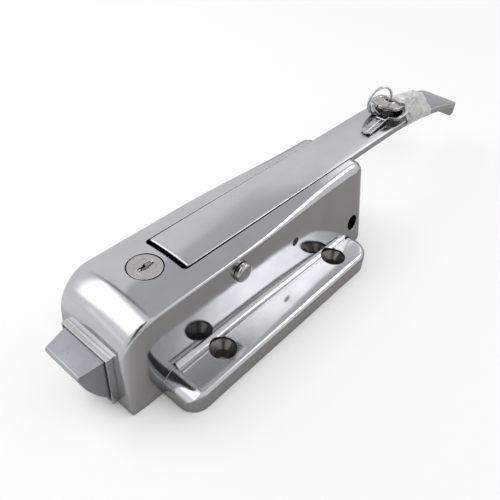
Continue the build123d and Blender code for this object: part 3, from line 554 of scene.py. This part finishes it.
def makeCamera():
    a = math.radians(stageLook["cameraAzimuth"])
    e = math.radians(stageLook["cameraElevation"])
    r = math.radians(stageLook["cameraRoll"])
    back = Vector((math.sin(a) * math.cos(e), -math.cos(a) * math.cos(e), math.sin(e)))
    right = Vector((math.cos(a), math.sin(a), 0))
    up = back.cross(right)
    rolledRight = math.cos(r) * right + math.sin(r) * up
    rolledUp = math.cos(r) * up - math.sin(r) * right
    data = bpy.data.cameras.new("photoCamera")
    data.sensor_width = stageLook["sensor"]
    data.lens = stageLook["focalPixels"] / stageLook["framePixels"] * stageLook["sensor"]
    data.clip_start, data.clip_end = stageLook["clip"]
    camera = bpy.data.objects.new("photoCamera", data)
    bpy.context.scene.collection.objects.link(camera)
    turn = Matrix((rolledRight, rolledUp, back)).transposed().to_4x4()
    camera.matrix_world = Matrix.Translation(stageLook["cameraPlace"]) @ turn
    bpy.context.scene.camera = camera


makeFloor()
makeSky()
for name, look in lampLooks.items():
    makeLamp(name, look)
for name, look in cardLooks.items():
    makeCard(name, look)
for name, look in floorCardLooks.items():
    layCard(name, look)
makeCamera()
bpy.context.scene.view_settings.view_transform = "Standard"
print("stage made")


# Handle: crowned lever with a turned-down tip, from the CAD's own places in millimetres
leverLook = dict(
    frontX=-47.5, stepX=-15.95, stepGap=0.3, bendX=122.0, bendRadius=338.97, topZ=52.3, tipX=228.0,
    frontHalf=12.7, tipHalf=13.8, thickness=4.5, frontThickness=5.8, play=0.3, frontRound=0.8,
    roundTurns=(0, 20, 40, 60, 90), crown=0.62, crownPower=2.6, crownFade=20.0, crowding=0.8,
    edge=0.5, edgeReach=0.7, lowBevel=0.6, bevelCut=0.3, planCorner=4.0, tipCorner=1.8,
    lipFrom=200.0, lipBottom=25.4, lipThickness=4.4, lipFillet=3.0, lipLead=1.5, lipStep=0.8,
    lipCorner=3.2, lipRound=1.4, hubTop=46.8, hubFar=50.0, smoothTo=32,
)
# How many stations each stretch of the lever gets; tip and corner together match the fillet's.
leverSteps = dict(
    head=10, flat=32, bend=36, tip=5, corner=6, fillet=11, lip=16, across=24, turn=4, side=7,
    under=(0.7, 0.35, 0.0, -0.35, -0.7),
)


def leverTopAt(x):
    run = max(x - leverLook["bendX"], 0)
    return leverLook["topZ"] - leverLook["bendRadius"] + math.sqrt(leverLook["bendRadius"] ** 2 - run**2)


def leverStations():
    # Pairs of points (top, bottom) along the lever in its middle plane, down to the lip's end.
    look, steps = leverLook, leverSteps
    pairs = []
    front, nose = look["frontX"], look["frontRound"]
    places = [front + nose * (1 - math.cos(math.radians(t))) for t in look["roundTurns"]]
    head = look["stepX"] - look["stepGap"] - front - nose
    places += [front + nose + head * i / steps["head"] for i in range(1, steps["head"] + 1)]
    flat = look["bendX"] - look["stepX"]
    places += [look["stepX"] + flat * i / steps["flat"] for i in range(steps["flat"] + 1)]
    for x in places:
        thick = look["frontThickness"] if x < look["stepX"] else look["thickness"]
        pairs.append(((x, look["topZ"]), (x, look["topZ"] - thick)))
    radius = look["bendRadius"]
    low = radius - look["thickness"]
    centreZ = look["topZ"] - radius
    lipX = look["tipX"] - look["lipThickness"]
    lastX = lipX - look["lipFillet"] + look["lipLead"]
    lastLean = math.asin((lastX - look["bendX"]) / radius)
    for i in range(1, steps["bend"] + 1):
        a = lastLean * i / steps["bend"]
        pairs.append(((look["bendX"] + radius * math.sin(a), centreZ + radius * math.cos(a)),
                      (look["bendX"] + low * math.sin(a), centreZ + low * math.cos(a))))
    # The top turns its corner while the underside turns the fillet inside the lip.
    corner = look["tipCorner"]
    cornerX = look["tipX"] - corner
    cornerLean = math.asin((cornerX - look["bendX"]) / radius)
    tops = []
    for i in range(1, steps["tip"] + 1):
        x = lastX + (cornerX - lastX) * i / steps["tip"]
        tops.append((x, leverTopAt(x)))
    cornerZ = tops[-1][1] - corner
    for i in range(1, steps["corner"] + 1):
        a = cornerLean + (math.pi / 2 - cornerLean) * i / steps["corner"]
        tops.append((cornerX + corner * math.sin(a), cornerZ + corner * math.cos(a)))
    lowX, lowZ = pairs[-1][1]
    lows = []
    for i in range(1, steps["fillet"] + 1):
        a = math.pi / 2 * i / steps["fillet"]
        lows.append((lowX + (lipX - lowX) * math.sin(a),
                     lowZ - look["lipStep"] - look["lipFillet"] * (1 - math.cos(a))))
    pairs += list(zip(tops, lows))
    (topX, topZ), (lowX, lowZ) = pairs[-1]
    end = look["lipBottom"]
    for i in range(1, steps["lip"] + 1):
        t = i / steps["lip"]
        pairs.append(((topX, topZ + (end - topZ) * t), (lowX, lowZ + (end - lowZ) * t)))
    return pairs


def leverHalf(x, z):
    # Half the width, narrowing round the tip's corners and the lip's lower corners.
    look = leverLook
    along = (x - look["frontX"]) / (look["tipX"] - look["frontX"])
    half = look["frontHalf"] + (look["tipHalf"] - look["frontHalf"]) * min(along, 1)
    past = max(x - (look["tipX"] - look["planCorner"]), 0)
    half -= look["planCorner"] - math.sqrt(max(look["planCorner"] ** 2 - past**2, 0))
    if x > look["lipFrom"]:
        below = min(max(look["lipBottom"] + look["lipCorner"] - z, 0), look["lipCorner"])
        half -= look["lipCorner"] - math.sqrt(look["lipCorner"] ** 2 - below**2)
    return half


def leverRing(top, bottom, shrink):
    # One closed ring of points round the lever, at depths measured from its top.
    look, steps = leverLook, leverSteps
    thick = math.hypot(bottom[0] - top[0], bottom[1] - top[1])
    length = look["tipX"] - look["frontX"]
    along = max(top[0] - look["frontX"], 0)
    half = look["frontHalf"] + (look["tipHalf"] - look["frontHalf"]) * along / length
    edge, reach, power = look["edge"], look["edgeReach"], look["crownPower"]
    crown = look["crown"] * min(max((look["tipX"] - top[0]) / look["crownFade"], 0), 1)
    inner = half - edge * reach
    ring = []
    for i in range(steps["across"] + 1):
        u = 2 * i / steps["across"] - 1
        u = math.copysign(abs(u) ** look["crowding"], u)
        ring.append((u * inner, crown * (abs(u) ** power - 1)))
    slope = math.atan(power * crown / inner)
    corner = []
    for i in range(1, steps["turn"] + 1):
        a = slope + (math.pi / 2 - slope) * i / steps["turn"]
        corner.append((inner + edge * reach * (math.sin(a) - math.sin(slope)) / (1 - math.sin(slope)),
                       edge * (math.cos(slope) - math.cos(a))))
    low, cut = look["lowBevel"], look["bevelCut"]
    bottoms = [(half, edge + (thick - low - edge) * i / steps["side"]) for i in range(1, steps["side"] + 1)]
    bottoms += [(half - low * cut, thick - low * cut), (half - low, thick)]
    ring += corner + bottoms
    ring += [(inner * u, thick) for u in steps["under"]]
    ring += [(-y, d) for y, d in reversed(bottoms)]
    ring += [(-y, d) for y, d in reversed(corner)]
    points = []
    for y, d in ring:
        d = shrink + d * (thick - 2 * shrink) / thick
        x = top[0] + (bottom[0] - top[0]) * d / thick
        z = top[1] + (bottom[1] - top[1]) * d / thick
        aside = max(min(abs(y), leverHalf(x, z)) - shrink, 0)
        points.append((x * mm, (math.copysign(aside, y) + look["play"]) * mm, z * mm))
    return points


def keptBelow(node, height, farX=None):
    # A copy of a node's CAD mesh, cut off at a height in millimetres.
    lower = bmesh.new()
    lower.from_mesh(nodes[node].data)
    bmesh.ops.remove_doubles(lower, verts=lower.verts, dist=1e-6)
    bmesh.ops.bisect_plane(
        lower, geom=lower.verts[:] + lower.edges[:] + lower.faces[:], plane_co=(0, 0, height * mm),
        plane_no=(0, 0, 1), clear_outer=True,
    )
    if farX is not None:
        bmesh.ops.delete(lower, geom=[v for v in lower.verts if v.co.x > farX * mm], context="VERTS")
    kept = bpy.data.meshes.new(node + "Lower")
    lower.to_mesh(kept)
    lower.free()
    return kept


def makeLever():
    look = leverLook
    mesh = bmesh.new()
    rings = []
    for top, bottom in leverStations():
        front = max(look["frontRound"] - (top[0] - look["frontX"]), 0)
        shrink = look["frontRound"] - math.sqrt(look["frontRound"] ** 2 - front**2)
        if top[0] > look["lipFrom"]:
            end = max(look["lipRound"] - (top[1] - look["lipBottom"]), 0)
            shrink += look["lipRound"] - math.sqrt(look["lipRound"] ** 2 - end**2)
        rings.append([mesh.verts.new(p) for p in leverRing(top, bottom, shrink)])
    count = len(rings[0])
    for a, b in zip(rings, rings[1:]):
        for i in range(count):
            j = (i + 1) % count
            mesh.faces.new((a[i], a[j], b[j], b[i]))
    mesh.faces.new(list(reversed(rings[0])))
    mesh.faces.new(rings[-1])
    # Hub, arm and fork keep the CAD's shape below the lever.
    kept = keptBelow("handle", look["hubTop"], look["hubFar"])
    mesh.from_mesh(kept)
    bpy.data.meshes.remove(kept)
    bmesh.ops.recalc_face_normals(mesh, faces=mesh.faces)
    data = bpy.data.meshes.new("handleLever")
    mesh.to_mesh(data)
    mesh.free()
    piece = placeMesh("handleLever", data)
    smooth(piece, look["smoothTo"])
    coat(piece.data, handleChrome)
    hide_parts("handle")
    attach(piece, "handle")


makeLever()
print("lever made")


# Keys: pressed plates with a raised rim round the bow, ribs along the blade and cuts in one edge
keyShape = dict(
    bowSides=6, bowRadius=11.2, bowCorner=2.8, blade=33.0, bladeStart=5.0, bladeHalf=3.25, bladeDrop=0.1,
    holeRadius=3.0, eyelet=0.9, eyeletDrop=0.08, web=0.62, rim=0.95, rimWidth=1.7, neck=12.6,
    collar=(0.6, 8.0), cuts=(16.2, 18.6, 21.4, 24.0, 26.6), cutDepths=(1.3, 0.8, 1.6, 0.9, 1.4),
    cutFoot=(1.0, 0.9), cutFloor=0.4, tipRun=(2.2, 1.4), tipHalf=(0.5, 0.7), ribEnds=(1.6, 7.0), edgeRib=1.5,
    midRib=(-0.45, 0.75), smoothTo=28,
)
keyBevels = dict(web=0.18, rim=0.22, eyelet=0.16, blade=0.12, rib=0.25, collar=0.2)
keyPlaces = {
    "key_lower": dict(place=(140.0, -3.0, 56.2), slope=0.07451, angle=3.0, hole=(1.946, 4.918), side=1,
                      rib=0.68),
    "key_upper": dict(place=(140.5, 0.5, 60.068), slope=-0.105104, angle=174.0, hole=(3.593, 0.679), side=-1,
                      rib=0.95),
}


def roundCorners(points, radius, steps=5, share=0.45):
    # Rounds each corner of a closed outline, with at most this share of a side on either hand.
    done = []
    count = len(points)
    for i in range(count):
        here = Vector(points[i])
        before = Vector(points[i - 1]) - here
        after = Vector(points[(i + 1) % count]) - here
        reach = min(radius, before.length * share, after.length * share)
        a = here + before.normalized() * reach
        b = here + after.normalized() * reach
        for k in range(steps + 1):
            t = k / steps
            done.append((1 - t) ** 2 * a + 2 * t * (1 - t) * here + t * t * b)
    return done


def circleOf(centre, radius, steps=28):
    turn = [2 * math.pi * i / steps for i in range(steps)]
    return [Vector((centre[0] + radius * math.cos(t), centre[1] + radius * math.sin(t))) for t in turn]


def plateOf(outlines, halfThickness, bevel, z=0.0):
    # A flat plate with softened edges; outlines after the first are holes.
    curve = bpy.data.curves.new("plate", "CURVE")
    curve.dimensions = "2D"
    curve.fill_mode = "BOTH"
    curve.extrude = (halfThickness - bevel) * mm
    curve.bevel_depth = bevel * mm
    curve.bevel_resolution = 2
    curve.offset = -bevel * mm
    for outline in outlines:
        spline = curve.splines.new("POLY")
        spline.points.add(len(outline) - 1)
        for point, p in zip(spline.points, outline):
            point.co = (p[0] * mm, p[1] * mm, 0, 1)
        spline.use_cyclic_u = True
    holder = bpy.data.objects.new("plate", curve)
    bpy.context.scene.collection.objects.link(holder)
    bpy.context.view_layer.update()
    mesh = bpy.data.meshes.new_from_object(holder.evaluated_get(bpy.context.evaluated_depsgraph_get()))
    bpy.data.objects.remove(holder)
    bpy.data.curves.remove(curve)
    mesh.transform(Matrix.Translation((0, 0, z * mm)))
    return mesh


def joinPlates(name, plates, turn):
    body = bmesh.new()
    for plate in plates:
        body.from_mesh(plate)
        bpy.data.meshes.remove(plate)
    bmesh.ops.transform(body, matrix=turn, verts=body.verts)
    data = bpy.data.meshes.new(name)
    body.to_mesh(data)
    body.free()
    return placeMesh(name, data)


def turned(points, degrees):
    a = math.radians(degrees)
    c, s = math.cos(a), math.sin(a)
    return [Vector((p[0] * c - p[1] * s, p[0] * s + p[1] * c)) for p in points]


def bladeOutline(side):
    # The blade's outline, with its cuts in the edge on this side.
    s = keyShape
    w, end, start = s["bladeHalf"], s["blade"], s["bladeStart"]
    cutEdge = [(-s["neck"], side * w)]
    for at, depth in zip(s["cuts"], s["cutDepths"]):
        cutEdge += [(-at + s["cutFoot"][0], side * w), (-at + s["cutFloor"], side * (w - depth)),
                    (-at - s["cutFloor"], side * (w - depth)), (-at - s["cutFoot"][1], side * w)]
    tip = [(-end + s["tipRun"][0], side * w), (-end, side * s["tipHalf"][0]), (-end, -side * s["tipHalf"][1]),
           (-end + s["tipRun"][1], -side * w)]
    blade = [(-start, side * w)] + cutEdge + tip + [(-start, -side * w)]
    if side < 0:
        blade.reverse()
    return [Vector(p) for p in blade]


def makeKey(node, look):
    s, bevels = keyShape, keyBevels
    bow = roundCorners(circleOf((0, 0), s["bowRadius"], s["bowSides"]), s["bowCorner"])
    inset = 1 - s["rimWidth"] / (s["bowRadius"] * math.cos(math.pi / s["bowSides"]))
    innerBow = [p * inset for p in bow]
    hole = circleOf(look["hole"], s["holeRadius"])
    eyelet = circleOf(look["hole"], s["holeRadius"] + s["eyelet"])
    blade = turned(bladeOutline(look["side"]), look["angle"])
    plates = [
        plateOf([bow, hole], s["web"], bevels["web"]),
        plateOf([bow, innerBow], s["rim"], bevels["rim"]),
        plateOf([eyelet, hole], s["rim"] - s["eyeletDrop"], bevels["eyelet"]),
        plateOf([blade], s["web"] - s["bladeDrop"], bevels["blade"]),
    ]
    w = s["bladeHalf"]
    tipEnd, bowEnd = s["ribEnds"]
    for low, high in ((-w, -w + s["edgeRib"]), s["midRib"]):
        rib = [(-s["blade"] + tipEnd, low), (-bowEnd, low), (-bowEnd, high), (-s["blade"] + tipEnd, high)]
        if look["side"] < 0:
            rib = [(x, -y) for x, y in reversed(rib)]
        plates.append(plateOf([turned(rib, look["angle"])], look["rib"], bevels["rib"]))
    past, inside = s["collar"]
    collar = [(-s["neck"] - past, -w), (-inside, -w), (-inside, w), (-s["neck"] - past, w)]
    plates.append(plateOf([turned(collar, look["angle"])], s["rim"], bevels["collar"]))
    tilt = Matrix.Rotation(-math.atan(look["slope"]), 4, "Y")
    piece = joinPlates(node + "_detail", plates, Matrix.Translation(Vector(look["place"]) * mm) @ tilt)
    smooth(piece, s["smoothTo"])
    coat(piece.data, nodeFinishes[node])
    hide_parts(node)
    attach(piece, "handle")


for node, look in keyPlaces.items():
    makeKey(node, look)
print("keys made")


# Lock plug: a face with a long stepped keyway, and the CAD's own plug below it
plugLook = dict(
    centre=(-61.25, 0.0), top=52.85, radius=5.0, faceDepth=3.0, bevel=0.12, keyCorner=0.35, smoothTo=30,
    faceSteps=64, cornerSteps=3,
    keyway=((-3.9, -0.85), (-2.6, -0.85), (-1.9, -1.6), (0.6, -1.6), (1.4, -1.1), (4.7, -0.75), (4.45, 1.5),
            (1.0, 1.75), (0.1, 1.9), (-0.4, 1.1), (-3.5, 1.35)),
)


def makePlug():
    look = plugLook
    half = look["faceDepth"] / 2
    x, y = look["centre"]
    keyway = roundCorners(look["keyway"], look["keyCorner"], look["cornerSteps"])
    rim = circleOf((0, 0), look["radius"], look["faceSteps"])
    face = plateOf([rim, keyway], half, look["bevel"], look["top"] - half)
    face.transform(Matrix.Translation((x * mm, y * mm, 0)))
    lower = keptBelow("lock_plug", look["top"] - look["faceDepth"])
    piece = joinPlates("lockPlugFace", [face, lower], Matrix.Identity(4))
    smooth(piece, look["smoothTo"])
    coat(piece.data, lockChrome)
    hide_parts("lock_plug")
    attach(piece, "lock_core")


makePlug()
print("lock plug made")


# Keyway: the spring shutter and the wards that show inside it, as blocks from the lock's axis:
# reach in X, in Y and in Z, bevel, and finish (0 dark, painted shade deep in the keyway; 1 bright, 2 grey)
wardLook = dict(
    centre=(-61.25, 0.0, 52.85), smoothTo=40,
    pieces=(
        (-1.9, 1.6, -1.5, 0.6, -3.0, -0.7, 0.2, 0), (-3.8, -2.2, -0.35, 0.5, -2.4, -0.08, 0.18, 1),
        (0.9, 3.6, -0.3, 1.55, -2.4, -0.25, 0.15, 2), (3.7, 4.6, 0.0, 1.25, -2.6, -0.08, 0.2, 1),
        (-3.9, 4.5, -1.5, 1.6, -4.0, -2.8, 0.05, 0),
    ),
)


def addBlock(mesh, low, high, bevel, slot):
    made = bmesh.ops.create_cube(mesh, size=1.0)
    size = [(h - l) * mm for l, h in zip(low, high)]
    middle = [(h + l) / 2 * mm for l, h in zip(low, high)]
    turn = Matrix.Translation(middle) @ Matrix.Diagonal((*size, 1))
    bmesh.ops.transform(mesh, matrix=turn, verts=made["verts"])
    edges = list({e for v in made["verts"] for e in v.link_edges})
    for face in {f for v in made["verts"] for f in v.link_faces}:
        face.material_index = slot
    bmesh.ops.bevel(mesh, geom=edges, offset=bevel * mm, segments=2, affect="EDGES", profile=0.6)


def makeWards():
    look = wardLook
    mesh = bmesh.new()
    cx, cy, cz = look["centre"]
    for x0, x1, y0, y1, z0, z1, bevel, slot in look["pieces"]:
        addBlock(mesh, (cx + x0, cy + y0, cz + z0), (cx + x1, cy + y1, cz + z1), bevel, slot)
    data = bpy.data.meshes.new("keywayWards")
    mesh.to_mesh(data)
    mesh.free()
    piece = placeMesh("keywayWards", data)
    smooth(piece, look["smoothTo"])
    coat(piece.data, wardShade, shutterSteel, wardGrey)
    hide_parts("lock_shutter")
    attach(piece, "lock_core")


makeWards()
print("keyway made")


def makeSprings():
    piece = placeMesh("boltSpringCoils", nodes["bolt_springs"].data.copy())
    coat(piece.data, springSteel)
    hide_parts("bolt_springs")
    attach(piece, "base")
    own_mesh(piece)


makeSprings()
print("springs made")


# Split ring: a little over one and a half turns side by side, thinner towards both ends
splitRingLook = dict(
    centre=(135.9, 4.0, 61.95), lean=-19.0, radius=8.9, wire=0.80, gap=1.55, start=-205.0, turn=560.0,
    steps=150, around=14, endWire=0.35, endGrowth=14, smoothTo=50,
)


def makeRing():
    look = splitRingLook
    lean = math.radians(look["lean"])
    ahead = Vector((math.cos(lean), math.sin(lean), 0))
    side = Vector((-math.sin(lean), math.cos(lean), 0))
    steps, around = look["steps"], look["around"]
    points = []
    for i in range(steps + 1):
        t = i / steps
        a = math.radians(look["start"] + look["turn"] * t)
        out = ahead * math.cos(a) + Vector((0, 0, math.sin(a)))
        shift = (t - 0.5) * look["gap"] * look["turn"] / 360
        middle = Vector(look["centre"]) + out * look["radius"] + side * shift
        wire = look["wire"] * min(1, look["endWire"] + look["endGrowth"] * min(t, 1 - t))
        for k in range(around):
            b = 2 * math.pi * k / around
            points.append((middle + (out * math.cos(b) + side * math.sin(b)) * wire) * mm)
    faces = [tuple(range(around))[::-1], tuple(steps * around + k for k in range(around))]
    for i in range(steps):
        for k in range(around):
            j = (k + 1) % around
            faces.append((i * around + k, i * around + j, (i + 1) * around + j, (i + 1) * around + k))
    piece = addMesh("keyRingWire", points, faces)
    smooth(piece, look["smoothTo"])
    coat(piece.data, ringSteel)
    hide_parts("key_ring")
    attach(piece, "handle")


makeRing()
print("ring made")


# Clear tape: a crumpled film over the upper key's blade, wrapped down the handle's sides
tapeLook = dict(
    startX=145.5, endX=177.0, edge=14.3, wrap=4.0, clearance=0.3, crumple=0.95, seed=11, rows=90, columns=120,
    ragged=0.9, raggedScale=0.25, slant=0.10, leastRidge=0.15, sideRidge=0.5, smoothTo=75,
    flap=(165.0, 177.5, -0.98, 0.05, 0.35), flapSeed=9,
)
# How the film lies over the key: half widths of bow and blade, the blade's lean, and how it falls away.
coverLook = dict(
    bowHalf=9.7, bowSlant=1.732, bladeHalf=3.9, bladeLean=0.1051, pastKey=0.4, endFall=0.8, leastReach=1.0,
    sag=1.25,
)
# Long folds and short folds, with dimples between them; run is how fast each changes along X and Y.
foldLook = dict(
    long=dict(run=((0.045, 0.06), (-0.07, 0.20)), seed=0, narrow=3.2, power=1.5, weight=0.6),
    short=dict(run=((0.17, -0.05), (0.0, 0.10)), seed=7, narrow=3.0, power=1.0, weight=0.3),
    dimples=dict(run=((0.33, 0.0), (0.0, 0.33)), seed=3, weight=0.12),
)
filmLook = dict(
    base=(0.97, 0.965, 0.94), shade=(0.88, 0.87, 0.83), alpha=(0.55, 0.95), rough=(0.12, 0.32),
    crease=0.00006, cloudCrease=0.00009, cloudScale=90.0, cellScale=260.0, cellStretch=(1, 0.35, 1),
    cellTurn=(0, 0, 32), creaseFade=(0.05, 0.55), cloudShare=0.6, creaseShare=0.4, alphaFade=(0.25, 0.75),
)


def keyCover(x, y):
    # Height of the film where it rides over the upper key: the bow first, then the blade.
    look, cover = keyPlaces["key_upper"], coverLook
    dx = x - look["place"][0]
    top = look["place"][2] + keyShape["rim"] + look["slope"] * dx
    bowHalf = max(min(cover["bowHalf"], (keyShape["bowRadius"] - dx) * cover["bowSlant"]), 0)
    half = max(bowHalf, cover["bladeHalf"])
    middle = look["place"][1] - (cover["bladeLean"] * dx if bowHalf < cover["bladeHalf"] else 0)
    end = look["place"][0] + keyShape["blade"] + cover["pastKey"]
    base = leverTopAt(x)
    if x > end:
        top -= (top - base) * min((x - end) / (tapeLook["endX"] - end), 1) ** cover["endFall"]
    away = max(abs(y - middle) - half, 0)
    reach = max(tapeLook["edge"] - half, cover["leastReach"])
    sag = min(away / reach, 1)
    return base + (top - base) * max(1 - sag, 0) ** cover["sag"]


def foldNoise(fold, x, y, seed):
    along, across = fold["run"]
    place = (x * along[0] + y * along[1], x * across[0] + y * across[1], seed + fold["seed"])
    return noise.noise(Vector(place))


def crumpleAt(x, y, seed):
    # Long folds that run slantwise over the film, with a few short ones between them.
    height = 0
    for fold in (foldLook["long"], foldLook["short"]):
        ridge = max(1 - fold["narrow"] * abs(foldNoise(fold, x, y, seed)), 0)
        height += ridge ** fold["power"] * fold["weight"]
    return height + foldLook["dimples"]["weight"] * foldNoise(foldLook["dimples"], x, y, seed)


def filmSheet(startX, endX, lowSide, highSide, lift, seed):
    # Points as rows along X; across, the film goes down one side, over the top and down the other.
    look = tapeLook
    rows, columns, edge = look["rows"], look["columns"], look["edge"]
    total = edge + look["wrap"]
    points = []
    for j in range(rows + 1):
        v = j / rows
        for i in range(columns + 1):
            u = lowSide + (highSide - lowSide) * i / columns
            across = u * total
            ragged = look["ragged"] * noise.noise(Vector((across * look["raggedScale"], 0, seed + 1)))
            x = startX + (endX - startX) * v + ragged * (1 - 2 * v) + look["slant"] * across * (1 - v)
            y = max(min(across, edge), -edge)
            down = max(abs(across) - edge, 0)
            z = keyCover(x, y) + look["clearance"] + lift
            ridge = crumpleAt(x, across, seed) + look["leastRidge"]
            if down > 0:
                z -= down
                y += math.copysign(look["crumple"] * ridge * look["sideRidge"], y)
            else:
                z += look["crumple"] * ridge
            points.append((x * mm, y * mm, z * mm))
    return points, gridFaces(rows, columns)


def filmMaterial():
    look, steps = filmLook, finishSteps
    material, tree, shader = startMaterial("clearTape")
    plain = stretched(tree, (1, 1, 1))
    cloud = noiseOf(tree, plain, look["cloudScale"], *noiseSteps["filmCloud"])
    cells = cellsOf(tree, stretched(tree, look["cellStretch"], look["cellTurn"]), look["cellScale"])
    creases = remap(tree, cells, *look["creaseFade"], 1.0, 0.0)
    tone = blendColour(tree, remap(tree, cloud, *steps["cloud"], 0, 1), look["base"], look["shade"])
    tree.links.new(tone, shader.inputs["Base Color"])
    clouded = combine(tree, "MULTIPLY", cloud, look["cloudShare"])
    mixed = combine(tree, "ADD", clouded, combine(tree, "MULTIPLY", creases, look["creaseShare"]))
    tree.links.new(remap(tree, mixed, *look["alphaFade"], *look["alpha"]), shader.inputs["Alpha"])
    tree.links.new(remap(tree, cloud, *steps["cloud"], *look["rough"]), shader.inputs["Roughness"])
    normal = bumpOf(tree, cells, look["crease"])
    normal = bumpOf(tree, cloud, look["cloudCrease"], normal)
    tree.links.new(normal, shader.inputs["Normal"])
    return material


def makeTape():
    look = tapeLook
    points, faces = filmSheet(look["startX"], look["endX"], -1.0, 1.0, 0.0, look["seed"])
    flap, flapFaces = filmSheet(*look["flap"], look["seed"] + look["flapSeed"])
    faces = faces + [tuple(i + len(points) for i in face) for face in flapFaces]
    piece = addMesh("keyTapeFilm", points + flap, faces)
    smooth(piece, look["smoothTo"])
    coat(piece.data, filmMaterial())
    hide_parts("key_tape")
    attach(piece, "handle")


makeTape()
print("tape made")
